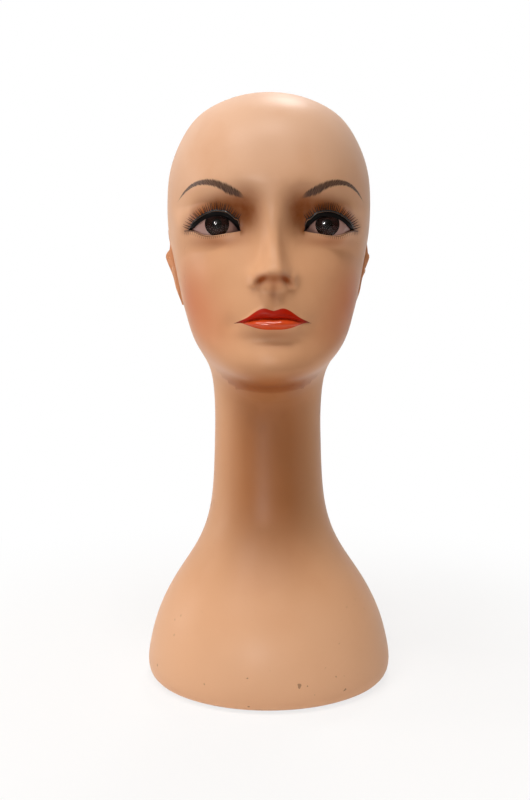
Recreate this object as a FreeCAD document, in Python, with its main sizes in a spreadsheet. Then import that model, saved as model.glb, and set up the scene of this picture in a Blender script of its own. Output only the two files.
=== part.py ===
import FreeCAD, Part

import math
import os

import Sketcher
from FreeCAD import Placement, Rotation, Vector

# A bald mannequin head on a long neck and a flared bust, for wigs, hats and make-up practice.
# Two hollow moulded half shells are bonded along a side seam.  Domed eyes sit in the front
# half, lash strips are glued to the lids, and a screwed base plate carries the ballast, the
# socket for a stand and the rubber feet.
# Frame: +Z up, the face looks along -Y, left and right are the head's own left (+X) and right.
# The origin lies under the middle of the base, on the surface that the feet stand on.

# ---------------------------------------------------------------------------------------------
# Driving dimensions, in millimetres and degrees
# ---------------------------------------------------------------------------------------------
SIZES = {
    "bust_width": (191.0, "widest width of the bust"),
    "bust_depth": (168.0, "depth of the bust, front to back"),
    "bust_height": (118.0, "from the floor to the bottom of the neck"),
    "neck_width": (86.0, "width of the neck where it is thinnest"),
    "neck_height": (119.5, "from the bust to the underside of the chin"),
    "head_width": (155.0, "width of the skull"),
    "head_depth": (188.0, "forehead to the back of the skull"),
    "head_height": (212.0, "underside of the chin to the crown"),
    "wall": (3.0, "thickness of the moulded shells"),
    "seam_offset": (28.0, "the side seam lies this far behind the middle of the base"),
    "strip_width": (18.0, "width of the joining strip inside the seam"),
    "strip_thickness": (1.5, "thickness of the joining strip"),
    "strip_foot": (34.0, "height at which the joining strip starts"),
    "rim_lift": (0.6, "gap between the rim of the bust and the floor"),
    "opening_width": (170.0, "width of the opening in the rim of the bust"),
    "opening_depth": (147.0, "depth of that opening, front to back"),
    "plate_gap": (0.25, "clearance all round the base plate"),
    "plate_thickness": (6.0, "thickness of the base plate"),
    "block_length": (30.0, "length of a screw block along the wall"),
    "block_reach": (17.0, "a screw block reaches this far in from the edge of the opening"),
    "block_height": (20.0, "height of a screw block"),
    "plate_screw_inset": (9.0, "a plate screw's distance from the edge of the opening"),
    "plate_screw_radius": (2.0, "shank radius of the plate screws"),
    "plate_screw_bite": (14.0, "length of a plate screw inside its block"),
    "socket_bore_radius": (13.0, "bore for the pin of a clamp or tripod"),
    "socket_bore_depth": (56.0, "depth of that bore"),
    "socket_wall": (3.0, "wall of the socket"),
    "socket_flange_radius": (30.0, "radius of the socket's flange"),
    "socket_flange_thickness": (4.0, "thickness of the socket's flange"),
    "socket_screw_radius": (1.75, "shank radius of the socket screws"),
    "socket_screw_bite": (5.0, "length of a socket screw inside the base plate"),
    "ballast_radius": (47.0, "outer radius of the ballast ring"),
    "ballast_gap": (1.0, "gap between the ballast ring and the socket's flange"),
    "ballast_thickness": (12.0, "thickness of the ballast ring"),
    "bolt_radius": (3.0, "shank radius of the ballast bolts"),
    "bolt_tail": (1.5, "a ballast bolt stands this far out of its nut"),
    "nut_radius": (5.77, "radius of a nut across its corners"),
    "nut_height": (5.0, "height of a nut"),
    "bolt_head_radius": (5.0, "radius of a ballast bolt's flat head"),
    "bolt_head_height": (3.0, "height of a ballast bolt's head"),
    "screw_head_radius": (3.6, "radius of a screw's head"),
    "screw_head_height": (2.2, "height of a screw's head"),
    "hole_gap": (0.3, "radial clearance of a screw or bolt in its hole"),
    "foot_radius": (8.0, "radius of a rubber foot"),
    "foot_height": (4.0, "height of a rubber foot, which lifts the base plate"),
    "foot_taper": (1.0, "a rubber foot is this much slimmer at the floor"),
    "foot_inset": (20.0, "a rubber foot's distance from the edge of the opening"),
    "eye_half_spacing": (38.3, "from the middle of the face to the middle of an iris"),
    "eye_above_chin": (110.8, "from the underside of the chin to the middle of an iris"),
    "eye_turn": (1.0, "the eyes' axes turn this many degrees outwards"),
    "eye_radius": (19.0, "radius of the eye dome"),
    "eye_half_width": (18.0, "half the width of the eye dome at its back"),
    "eye_wall": (4.0, "wall of the eye dome"),
    "eye_proud": (0.5, "the eye dome stands this far out of the socket's hollow"),
    "iris_radius": (8.4, "radius of the iris disc"),
    "iris_depth": (2.8, "the seat of the iris lies this far behind the front of the dome"),
    "iris_thickness": (0.6, "thickness of the iris disc"),
    "cornea_bulge": (0.7, "the clear cap stands this far proud of the eye dome"),
    "cornea_gap": (0.1, "clearance round the iris and the clear cap"),
    "lid_thickness": (2.2, "thickness of the lids in front of the eye dome"),
    "lid_gap": (0.2, "clearance between the eye dome and the lids"),
    "lid_half_width": (17.0, "half the width of the opening between the lids"),
    "upper_lid_rise": (8.2, "edge of the upper lid above the middle of the eye"),
    "lower_lid_drop": (8.2, "edge of the lower lid below the middle of the eye"),
    "lid_corner_drop": (5.0, "corners of the eye below the middle of the eye"),
    "putty_reach": (3.0, "thickness of the putty bed round the eye dome"),
    "putty_length": (6.0, "length of the putty bed along the eye's axis"),
    "putty_lap": (1.0, "the putty bed laps this far over the back edge of the eye dome"),
    "band_width": (0.9, "width of the band that the lashes are knotted on"),
    "band_clearance": (0.4, "room on the lid beyond the band"),
    "band_thickness": (0.7, "thickness of that band"),
    "fringe_thickness": (0.4, "thickness of the row of lashes"),
    "lash_length": (6.5, "length of the lashes"),
    "ear_height": (58.0, "height of an ear"),
    "ear_length": (27.0, "length of an ear, front to back"),
    "ear_thickness": (17.0, "thickness of an ear, root included"),
    "ear_above_chin": (86.0, "from the underside of the chin to the middle of an ear"),
    "ear_offset": (13.0, "the middle of an ear lies this far behind the middle of the base"),
    "ear_root": (1.5, "the middle of an ear lies this far inside the side of the head"),
    "ear_lean": (12.0, "the top of an ear leans back by this many degrees"),
    "ear_bowl": (0.5, "size of the bowl in an ear, as a share of the ear's size"),
    "ear_bowl_shift": (3.4, "the bowl lies this far in front of the middle of the ear"),
}

doc = FreeCAD.newDocument("mannequin_head")
sheet = doc.addObject("Spreadsheet::Sheet", "sizes")
for row, (alias, (value, note)) in enumerate(SIZES.items(), 1):
    sheet.set(f"A{row}", alias)
    sheet.set(f"B{row}", str(value))
    sheet.setAlias(f"B{row}", alias)
    sheet.set(f"C{row}", note)
doc.recompute()


def size(alias):
    """The value of one driving dimension, read from the sheet."""
    return float(sheet.get(alias))


def bind(thing, **expressions):
    """Binds properties to the sheet.  In a property's name, __ stands for a dot."""
    for name, expression in expressions.items():
        thing.setExpression(name.replace("__", "."), expression)


# ---------------------------------------------------------------------------------------------
# The outer form: a front, a side and a back rail, with a full cross-section between them
# ---------------------------------------------------------------------------------------------
# The stations are drawn at these sizes, and stretched zone by zone to the sizes in the sheet.
DRAWN = {
    "bust_width": 191.0,
    "bust_depth": 168.0,
    "bust_height": 118.0,
    "neck_width": 86.0,
    "neck_height": 119.5,
    "head_width": 155.0,
    "head_depth": 188.0,
    "head_height": 212.0,
}
# Each station, from the floor up: its zone, the front rail (y, z), the side rail (x, y, z), the
# back rail (y, z), and how full the section is in front and behind (2 is an ellipse).
STATIONS = [
    ("bust", (-66, -8), (77, 0, -8), (66, -8), 2.0, 2.0),
    ("bust", (-75, 0), (86.5, 0, 0), (75, 0), 2.0, 2.0),
    ("bust", (-81, 3), (92.3, 0, 3), (81, 3), 2.0, 2.0),
    ("bust", (-84, 10), (95.5, 0, 10), (84, 10), 2.0, 2.0),
    ("bust", (-83, 28), (93.8, 1, 28), (83.5, 28), 2.0, 2.0),
    ("bust", (-76.5, 50), (87.5, 3, 50), (82, 50), 2.0, 2.0),
    ("bust", (-61.5, 74), (75.2, 8, 74), (79.5, 74), 2.0, 2.0),
    ("bust", (-42, 98), (59, 14, 98), (76, 98), 2.0, 2.0),
    ("neck", (-27.5, 118), (49.7, 20, 118), (73, 118), 2.0, 2.0),
    ("neck", (-19, 142), (44.9, 25, 142), (71, 142), 2.0, 2.0),
    ("neck", (-14.5, 175), (43, 28, 178), (70, 178), 2.0, 2.0),
    ("neck", (-13, 206), (42.6, 27, 210), (70.5, 214), 2.0, 2.0),
    ("neck", (-20, 224), (44.6, 18, 236), (72.5, 236), 2.0, 2.0),
    ("head", (-46, 233), (50, 4, 252), (75.5, 250), 2.0, 1.9),
    ("head", (-70, 237.5), (56.5, -6, 265), (79.5, 263), 2.05, 1.7),
    ("head", (-82, 247), (60.5, -6, 276), (84, 274), 2.1, 1.65),
    ("head", (-82, 262), (63, -6, 285), (89, 286), 2.1, 1.65),
    ("head", (-81, 283), (66, -4, 296), (96, 303), 2.1, 1.7),
    ("head", (-79, 304), (69.5, 0, 312), (101.5, 318), 2.05, 1.8),
    ("head", (-76, 326), (73.5, 6, 330), (104.5, 334), 2.0, 1.9),
    ("head", (-77, 347), (76.8, 12, 348), (106, 350), 2.05, 2.0),
    ("head", (-82, 371), (77.5, 16, 370), (106, 370), 2.15, 2.0),
    ("head", (-80, 391), (75.6, 17, 390), (103.5, 388), 2.2, 2.0),
    ("head", (-73, 410.5), (69, 17, 409.5), (94.5, 408.5), 2.2, 2.0),
    ("head", (-58, 428), (57.5, 16, 428), (78, 427), 2.15, 2.0),
    ("head", (-38, 439.5), (42.5, 15, 439.5), (58, 439), 2.05, 2.0),
    ("head", (-14, 447), (23, 15, 447), (36, 447), 2.0, 2.0),
]
CROWN = ("head", (15, 449.5), (0, 15, 449.5), (15, 449.5), 2.0, 2.0)

GROWTH = {name: size(name) / drawn for name, drawn in DRAWN.items()}
WIDTH_GROWTH = {zone: GROWTH[f"{zone}_width"] for zone in ("bust", "neck", "head")}
DEPTH_GROWTH = {
    "bust": GROWTH["bust_depth"],
    "neck": (GROWTH["bust_depth"] + GROWTH["head_depth"]) / 2,
    "head": GROWTH["head_depth"],
}
CHIN_Z = size("bust_height") + size("neck_height")
DRAWN_CHIN_Z = DRAWN["bust_height"] + DRAWN["neck_height"]


def height_of(z):
    """The real height of a point that was drawn at the height z."""
    if z < DRAWN["bust_height"]:
        return z * GROWTH["bust_height"]
    if z < DRAWN_CHIN_Z:
        return size("bust_height") + (z - DRAWN["bust_height"]) * GROWTH["neck_height"]
    return CHIN_Z + (z - DRAWN_CHIN_Z) * GROWTH["head_height"]


def station_points(station):
    """The three rail points of a station.  Front and back carry their fullness as x."""
    zone, front, side, back, front_full, back_full = station
    depth = DEPTH_GROWTH[zone]
    return (
        Vector(front_full, front[0] * depth, height_of(front[1])),
        Vector(side[0] * WIDTH_GROWTH[zone], side[1] * depth, height_of(side[2])),
        Vector(back_full, back[0] * depth, height_of(back[1])),
    )


def past_the_crown(station):
    """A station mirrored over the crown: front goes on as back, one side as the other."""
    zone, front, side, back, front_full, back_full = station
    return (zone, back, (-side[0], side[1], side[2]), front, back_full, front_full)


# The stations' spacing along the shared parameter is their distance to this power: below 1 it
# keeps the rails from swinging out where short steps follow long ones.
SPACING_POWER = 0.6


def make_rails():
    """The rails as cubic splines over one shared parameter, and the crown's parameter."""
    stations = STATIONS + [CROWN, past_the_crown(STATIONS[-1]), past_the_crown(STATIONS[-2])]
    rows = [station_points(station) for station in stations]
    parameters = [0.0]
    for here, after in zip(rows, rows[1:]):
        step = math.sqrt(sum((b - a).dot(b - a) for a, b in zip(here, after)))
        parameters.append(parameters[-1] + step**SPACING_POWER)
    rails = []
    for points in zip(*rows):
        rail = Part.BSplineCurve()
        rail.interpolate(Points=list(points), Parameters=parameters)
        rails.append(rail)
    return rails, parameters[len(STATIONS)]


RAILS, CROWN_PARAMETER = make_rails()

# Soft hills and hollows of the face, at the drawn sizes.  Each is (x of its middle, height of its
# middle above the chin, reach in x, reach in z, how far forward), and is mirrored in x.
FEATURES = [
    (0, 108, 15, 32, 7.0),  # bridge of the nose
    (0, 88, 17, 26, 12.0),  # back of the nose
    (0, 78, 19, 14, 19.0),  # tip of the nose
    (11, 73, 9, 9, 6.0),  # wing of the nose
    (0, 51, 46, 34, 6.0),  # muzzle
    (0, 51, 28, 8, 3.5),  # upper lip
    (0, 42, 22, 7, 4.0),  # lower lip
    (0, 14, 32, 20, 5.0),  # chin
    (21, 112, 18, 20, -8.5),  # inner corner of the eye socket
    (38, 98, 24, 14, -2.0),  # under the eye
    (34, 138, 34, 13, 2.0),  # brow
    (46, 79, 26, 22, 3.0),  # cheekbone
]


def face_relief(x, z):
    """How far the features carry the front of the head forward at (x, z)."""
    relief = 0.0
    for middle_x, above_chin, reach_x, reach_z, forward in FEATURES:
        middle_z = CHIN_Z + above_chin * GROWTH["head_height"]
        for side in (-1, 1) if middle_x else (1,):
            across = (x / WIDTH_GROWTH["head"] - side * middle_x) / reach_x
            up = (z - middle_z) / (reach_z * GROWTH["head_height"])
            fall = 1 - across**2 - up**2
            relief += forward * fall**2 if fall > 0 else 0.0
    return relief


def form_point(parameter, angle):
    """A point of the outer form.  Angle 0 is the +X side and 90 degrees is the front."""
    front, side, back = (rail.value(parameter) for rail in RAILS)
    across, along = math.cos(angle), math.sin(angle)
    end = front if along >= 0 else back
    power = 2 / end.x
    x = side.x * math.copysign(abs(across) ** power, across)
    y = side.y + (end.y - side.y) * abs(along) ** power
    z = side.z + (end.z - side.z) * along**2
    if along > 0:
        y -= face_relief(x, z)
    return Vector(x, y, z)


# The skin's poles: rows from the floor to the crown, and columns from the middle of the back to
# the edge of the face and on to its middle, on each side.
FORM_ROWS = 104
SIDE_COLUMNS = 22
FACE_COLUMNS = 22
FACE_ANGLE = math.radians(62)
# The step along the skin, in its own parameters, over which its slope is taken.
SLOPE_STEP = 1e-3


def column_angles():
    """Angles all round, from the middle of the back, twice as close together on the face."""
    edge = math.pi / 2 - FACE_ANGLE
    side = [-math.pi / 2 + (edge + math.pi / 2) * n / SIDE_COLUMNS for n in range(SIDE_COLUMNS)]
    face = [edge + FACE_ANGLE * n / FACE_COLUMNS for n in range(FACE_COLUMNS + 1)]
    right = side + face
    left = [math.pi - angle for angle in reversed(right[1:-1])]
    return right + left


def surface_normal(parameter, angle):
    """The outward normal of the form, from two short steps along its surface."""
    low = max(parameter - SLOPE_STEP, 0.0)
    high = parameter + SLOPE_STEP
    up = form_point(high, angle) - form_point(low, angle)
    around = form_point(parameter, angle + SLOPE_STEP) - form_point(parameter, angle - SLOPE_STEP)
    normal = around.cross(up)
    return -normal.normalize()


def make_form(name, inset):
    """The solid inside the outer form, with its skin moved inwards by the inset."""
    angles = column_angles()
    poles = []
    for row in range(FORM_ROWS):
        parameter = CROWN_PARAMETER * row / FORM_ROWS
        ring = []
        for angle in angles:
            point = form_point(parameter, angle)
            if inset:
                point -= surface_normal(parameter, angle) * inset
            if row == 0:
                point.z = RAILS[0].value(0).z
            ring.append(point)
        poles.append(ring)
    crown = form_point(CROWN_PARAMETER, 0.0) - Vector(0, 0, inset)
    poles.append([crown] * len(angles))
    skin = Part.BSplineSurface()
    row_knots = list(range(len(poles) - 2))
    ends = [4] + [1] * (len(row_knots) - 2) + [4]
    column_knots = list(range(len(angles) + 1))
    skin.buildFromPolesMultsKnots(
        poles, ends, [1] * len(column_knots), row_knots, column_knots, False, True, 3, 3
    )
    side = skin.toShape()
    rim = min(side.Edges, key=lambda edge: edge.BoundBox.ZMax)
    shell = Part.Shell([side, Part.Face(Part.Wire(rim))])
    shell.sewShape()
    form = doc.addObject("Part::Feature", name)
    form.Label = name
    form.Shape = Part.Solid(shell)
    return form


outer_form = make_form("outer_form", 0.0)
inner_form = make_form("inner_form", size("wall"))
strip_form = make_form("strip_form", size("wall") + size("strip_thickness"))


def front_of(form, x, z):
    """The foremost y of a form at the place (x, z)."""
    far = size("bust_depth") + size("head_depth")
    probe = Part.makeLine(Vector(x, -far, z), Vector(x, 0, z))
    return form.Shape.common(probe).BoundBox.YMin


# ---------------------------------------------------------------------------------------------
# Ways of making a piece
# ---------------------------------------------------------------------------------------------
def labelled(thing, label):
    """Gives a document object the name of its piece."""
    thing.Label = label
    return thing


def cut(name, base, *tools):
    """A piece with the tools taken away from it."""
    result = base
    for number, tool in enumerate(tools, 1):
        step = doc.addObject("Part::Cut", f"{name}_cut_{number}")
        step.Base = result
        step.Tool = tool
        result = step
    return labelled(result, name)


def fuse(name, *parts):
    """One solid of several."""
    result = doc.addObject("Part::MultiFuse", f"{name}_fuse")
    result.Shapes = list(parts)
    return labelled(result, name)


def common(name, *parts):
    """What several solids share."""
    result = doc.addObject("Part::MultiCommon", f"{name}_common")
    result.Shapes = list(parts)
    return labelled(result, name)


def group(name, *parts):
    """Several separate solids in one piece's file."""
    result = doc.addObject("Part::Compound", f"{name}_group")
    result.Links = list(parts)
    return labelled(result, name)


def box(name, **expressions):
    """A block, placed by its lowest corner."""
    result = doc.addObject("Part::Box", name)
    bind(result, **expressions)
    return result


def cylinder(name, radius, length, x="0", y="0", z="0"):
    """An upright cylinder, from the middle of its lower end."""
    result = doc.addObject("Part::Cylinder", name)
    places = {"Placement.Base.x": x, "Placement.Base.y": y, "Placement.Base.z": z}
    bind(result, Radius=radius, Height=length, **places)
    return result


def origin_plane(body, role):
    """One of a body's own origin planes."""
    return next(plane for plane in body.Origin.OriginFeatures if plane.Role == role)


def new_sketch(body, name, role):
    """A sketch on one of the body's own origin planes."""
    sketch = body.newObject("Sketcher::SketchObject", name)
    sketch.AttachmentSupport = [(origin_plane(body, role), "")]
    sketch.MapMode = "FlatFace"
    return sketch


def bound_constraint(sketch, name, expression, *details):
    """A dimension of a sketch, bound to the sheet.  Its first value is only a start."""
    number = sketch.addConstraint(Sketcher.Constraint(*details))
    sketch.renameConstraint(number, name)
    sketch.setExpression(f"Constraints.{name}", expression)


def is_zero(value):
    """A sketch takes no dimension of zero: such a point is put on the axis instead."""
    return abs(value) < 1e-9


def turned(name, profile):
    """A body turned round Z.  The profile's corners are pairs of expressions, (radius, z)."""
    body = doc.addObject("PartDesign::Body", f"{name}_body")
    sketch = new_sketch(body, f"{name}_profile", "XZ_Plane")
    values = [tuple(evaluate(part) for part in corner) for corner in profile]
    count = len(profile)
    for number in range(count):
        here, after = values[number], values[(number + 1) % count]
        sketch.addGeometry(Part.LineSegment(Vector(*here, 0), Vector(*after, 0)), False)
    for number, (radius, z) in enumerate(profile):
        before = (number - 1) % count
        sketch.addConstraint(Sketcher.Constraint("Coincident", before, 2, number, 1))
        for axis, kind, text, value in (
            ("radius", "DistanceX", radius, values[number][0]),
            ("height", "DistanceY", z, values[number][1]),
        ):
            if is_zero(value):
                on_axis = -2 if kind == "DistanceX" else -1
                sketch.addConstraint(Sketcher.Constraint("PointOnObject", number, 1, on_axis))
            else:
                label = f"{axis}_{number}"
                bound_constraint(sketch, label, text, kind, -1, 1, number, 1, value)
    doc.recompute()
    revolution = body.newObject("PartDesign::Revolution", f"{name}_turn")
    revolution.Profile = sketch
    revolution.ReferenceAxis = (sketch, ["V_Axis"])
    revolution.Angle = 360
    return labelled(body, name)


def evaluate(expression):
    """The value of an expression that is read by the sheet's names."""
    return float(sheet.evalExpression(expression.replace("sizes.", "")))


def placed(name, source, placement):
    """A linked copy of a piece that was drawn in its own frame, at its place on the head."""
    link = doc.addObject("App::Link", f"{name}_link")
    link.LinkedObject = source
    link.LinkTransform = True
    link.Placement = placement
    return labelled(link, name)


def copies(name, source, places):
    """The same piece at several places, as linked copies in one group."""
    links = []
    for number, (x, y) in enumerate(places, 1):
        link = doc.addObject("App::Link", f"{name}_{number}")
        link.LinkedObject = source
        link.LinkTransform = True
        bind(link, **{"Placement.Base.x": x, "Placement.Base.y": y})
        links.append(link)
    return group(name, *links)


# ---------------------------------------------------------------------------------------------
# Heights of the stack in the base, as expressions of the sheet
# ---------------------------------------------------------------------------------------------
PLATE_TOP = "(sizes.foot_height + sizes.plate_thickness)"
FLANGE_TOP = f"({PLATE_TOP} + sizes.socket_flange_thickness)"
BALLAST_TOP = f"({PLATE_TOP} + sizes.ballast_thickness)"
HALF_OPENING_X = "sizes.opening_width / 2"
HALF_OPENING_Y = "sizes.opening_depth / 2"

# Where the fasteners and the feet stand, as pairs of expressions.
SCREW_X = f"({HALF_OPENING_X} - sizes.plate_screw_inset)"
SCREW_Y = f"({HALF_OPENING_Y} - sizes.plate_screw_inset)"
PLATE_SCREW_PLACES = [(SCREW_X, "0"), (f"-{SCREW_X}", "0"), ("0", SCREW_Y), ("0", f"-{SCREW_Y}")]
SOCKET_RADIUS = "(sizes.socket_bore_radius + sizes.socket_wall)"
SOCKET_SCREW_REACH = f"(({SOCKET_RADIUS} + sizes.socket_flange_radius) / 2 * cos(45))"
SOCKET_SCREW_PLACES = [
    (f"{x} * {SOCKET_SCREW_REACH}", f"{y} * {SOCKET_SCREW_REACH}")
    for x in (-1, 1)
    for y in (-1, 1)
]
BALLAST_BORE = "(sizes.socket_flange_radius + sizes.ballast_gap)"
BOLT_Y = f"(({BALLAST_BORE} + sizes.ballast_radius) / 2)"
BOLT_PLACES = [("0", BOLT_Y), ("0", f"-{BOLT_Y}")]
FOOT_X = f"({HALF_OPENING_X} - sizes.foot_inset) * cos(45)"
FOOT_Y = f"({HALF_OPENING_Y} - sizes.foot_inset) * sin(45)"
FOOT_PLACES = [(f"{x} * {FOOT_X}", f"{y} * {FOOT_Y}") for x in (-1, 1) for y in (-1, 1)]


# ---------------------------------------------------------------------------------------------
# The eyes: each is built round its own axis, which is local Z, with local X to the side
# ---------------------------------------------------------------------------------------------
def eye_placement(side):
    """Where an eye dome's centre lies and how its axis points.  Side 1 is the left eye."""
    turn = math.radians(size("eye_turn"))
    x = side * size("eye_half_spacing")
    z = CHIN_Z + size("eye_above_chin")
    gaze = Vector(side * math.sin(turn), -math.cos(turn), 0)
    front = Vector(x, front_of(outer_form, x, z) - size("eye_proud"), z)
    sideways = Vector(0, 0, 1).cross(gaze)
    return Placement(front - gaze * size("eye_radius"), Rotation(sideways, Vector(), gaze, "ZXY"))


EYE_PLACES = {"left": eye_placement(1), "right": eye_placement(-1)}


def sphere(name, radius, lowest_latitude="-90"):
    """A ball round the origin, cut off flat below a latitude in degrees."""
    result = doc.addObject("Part::Sphere", name)
    bind(result, Radius=radius, Angle1=lowest_latitude)
    return result


# The iris and the clear cap sit in a round seat in the front of the dome.
SEAT = "(sizes.eye_radius - sizes.iris_depth)"
SEAT_RADIUS = "(sizes.iris_radius + sizes.cornea_gap)"
IRIS_FRONT = f"({SEAT} + sizes.iris_thickness)"
RIM_DEPTH = "sqrt(sizes.eye_radius^2 - sizes.iris_radius^2)"
CAP_RISE = f"(sizes.eye_radius + sizes.cornea_bulge - {RIM_DEPTH})"
CAP_RADIUS = f"((sizes.iris_radius^2 + {CAP_RISE}^2) / (2 * {CAP_RISE}))"

dome = cut(
    "eye_dome",
    sphere("dome_ball", "sizes.eye_radius", "acos(sizes.eye_half_width / sizes.eye_radius)"),
    sphere("dome_hollow", "sizes.eye_radius - sizes.eye_wall"),
    cylinder("iris_seat", SEAT_RADIUS, "sizes.eye_radius", z=SEAT),
)
iris = cylinder("iris_disc", "sizes.iris_radius", "sizes.iris_thickness", z=SEAT)
cap_ball = sphere("cap_ball", CAP_RADIUS)
bind(cap_ball, Placement__Base__z=f"sizes.eye_radius + sizes.cornea_bulge - {CAP_RADIUS}")
cap = common(
    "clear_cap",
    cylinder("cap_edge", "sizes.iris_radius", "sizes.eye_radius", z=IRIS_FRONT),
    cap_ball,
)

# The opening between the lids is the lens that two discs share, an upper and a lower one.
LID_OUTSIDE = "(sizes.eye_radius + sizes.lid_gap + sizes.lid_thickness)"
UPPER_RISE = "(sizes.upper_lid_rise + sizes.lid_corner_drop)"
LOWER_RISE = "(sizes.lower_lid_drop - sizes.lid_corner_drop)"
UPPER_ARC = f"((sizes.lid_half_width^2 + {UPPER_RISE}^2) / (2 * {UPPER_RISE}))"
LOWER_ARC = f"((sizes.lid_half_width^2 + {LOWER_RISE}^2) / (2 * {LOWER_RISE}))"
UPPER_MIDDLE = f"sizes.upper_lid_rise - {UPPER_ARC}"
LOWER_MIDDLE = f"{LOWER_ARC} - sizes.lower_lid_drop"
EYE_REACH = f"({LID_OUTSIDE} + sizes.band_thickness + sizes.lash_length)"


def lens(name, widening):
    """The lens between the lids, carried along the eye's axis and widened all round."""
    return common(
        name,
        cylinder(f"{name}_upper", f"{UPPER_ARC} + {widening}", EYE_REACH, y=UPPER_MIDDLE),
        cylinder(f"{name}_lower", f"{LOWER_ARC} + {widening}", EYE_REACH, y=LOWER_MIDDLE),
    )


opening = lens("lid_opening", "0")
# The face is cleared in front of the lids' edges, where the lash strip lies.
lid_clearing = cut(
    "lid_clearing",
    lens("wide_lens", "(sizes.band_width + sizes.band_clearance)"),
    sphere("lid_face", LID_OUTSIDE),
)


def lid_strip(name, thickness, inside, outside):
    """A strip that follows the upper lid's edge, between two spheres round the eye."""
    above_corners = box(
        f"{name}_side",
        Length="4 * sizes.lid_half_width",
        Width="2 * sizes.lid_half_width",
        Height=EYE_REACH,
        Placement__Base__x="-2 * sizes.lid_half_width",
        Placement__Base__y="-sizes.lid_corner_drop",
    )
    return common(
        name,
        above_corners,
        cut(
            f"{name}_arc",
            cylinder(f"{name}_far", f"{UPPER_ARC} + {thickness}", EYE_REACH, y=UPPER_MIDDLE),
            cylinder(f"{name}_near", UPPER_ARC, EYE_REACH, y=UPPER_MIDDLE),
        ),
        cut(
            f"{name}_skin",
            sphere(f"{name}_outside", outside),
            sphere(f"{name}_inside", inside),
        ),
    )


BAND_OUTSIDE = f"({LID_OUTSIDE} + sizes.band_thickness)"
band = lid_strip("lash_strip_band", "sizes.band_width", LID_OUTSIDE, BAND_OUTSIDE)
fringe = lid_strip("lash_fringe", "sizes.fringe_thickness", BAND_OUTSIDE, EYE_REACH)

lid_ball = sphere("lid_ball", LID_OUTSIDE)
eye_pocket = sphere("eye_pocket", "sizes.eye_radius + sizes.lid_gap")
putty_ring = cut(
    "putty_ring",
    cylinder(
        "putty_outside",
        "sizes.eye_half_width + sizes.putty_reach",
        "sizes.putty_length",
        z="sizes.eye_radius * sin(acos(sizes.eye_half_width / sizes.eye_radius))"
        " - sizes.putty_length / 2",
    ),
    cylinder("putty_bore", "sizes.eye_half_width - sizes.putty_lap", EYE_REACH),
    sphere("putty_ball", "sizes.eye_radius"),
)

nodes = []
lid_balls = []
eye_cuts = []
for eye, place in EYE_PLACES.items():
    nodes.append(placed(f"{eye}_eye_white", dome, place))
    nodes.append(placed(f"{eye}_iris", iris, place))
    nodes.append(placed(f"{eye}_cornea", cap, place))
    nodes.append(placed(f"{eye}_lash_band", band, place))
    nodes.append(placed(f"{eye}_lashes", fringe, place))
    ring = placed(f"{eye}_putty_ring", putty_ring, place)
    nodes.append(common(f"{eye}_eye_putty", ring, inner_form))
    lid_balls.append(placed(f"{eye}_lid_ball", lid_ball, place))
    eye_cuts.append(placed(f"{eye}_eye_pocket", eye_pocket, place))
    eye_cuts.append(placed(f"{eye}_lid_opening", opening, place))
    eye_cuts.append(placed(f"{eye}_lid_clearing", lid_clearing, place))


# ---------------------------------------------------------------------------------------------
# The moulded shells
# ---------------------------------------------------------------------------------------------
def ear(name, side):
    """An ear pressed close to the head: a flat rounded body with a shallow bowl in it."""
    z = CHIN_Z + size("ear_above_chin")
    y = size("ear_offset")
    probe = Part.makeLine(Vector(0, y, z), Vector(side * size("bust_width"), y, z))
    reach = outer_form.Shape.common(probe).BoundBox
    x = (reach.XMax if side > 0 else reach.XMin) - side * size("ear_root")
    lean = Rotation(Vector(-1, 0, 0), size("ear_lean"))
    body = doc.addObject("Part::Ellipsoid", f"{name}_body")
    bind(
        body,
        Radius1="sizes.ear_height / 2",
        Radius2="sizes.ear_thickness / 2",
        Radius3="sizes.ear_length / 2",
    )
    body.Placement = Placement(Vector(x, y, z), lean)
    bowl = doc.addObject("Part::Ellipsoid", f"{name}_bowl")
    bind(
        bowl,
        Radius1="sizes.ear_bowl * sizes.ear_height / 2",
        Radius2="sizes.ear_bowl * sizes.ear_thickness / 2",
        Radius3="sizes.ear_bowl * sizes.ear_length / 2",
    )
    outside = x + side * size("ear_thickness") / 2
    bowl.Placement = Placement(Vector(outside, y - size("ear_bowl_shift"), z), lean)
    return cut(name, body, bowl)


def room(name, y_low, y_high, z_low, z_high):
    """A block as wide as the whole head, between two depths and two heights."""
    return box(
        name,
        Length="2 * sizes.bust_width",
        Width=f"({y_high}) - ({y_low})",
        Height=f"({z_high}) - ({z_low})",
        Placement__Base__x="-sizes.bust_width",
        Placement__Base__y=y_low,
        Placement__Base__z=z_low,
    )


FAR = "(2 * (sizes.bust_depth + sizes.head_depth))"
TALL = "(2 * (sizes.bust_height + sizes.neck_height + sizes.head_height))"
hollow = common("hollow", inner_form, room("above_rim", f"-{FAR}", FAR, PLATE_TOP, TALL))


def nearest_end(line, point):
    """Which end of a line, 1 or 2, is nearer to a point."""
    near_start = line.StartPoint.distanceToPoint(point) < line.EndPoint.distanceToPoint(point)
    return 1 if near_start else 2


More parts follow.
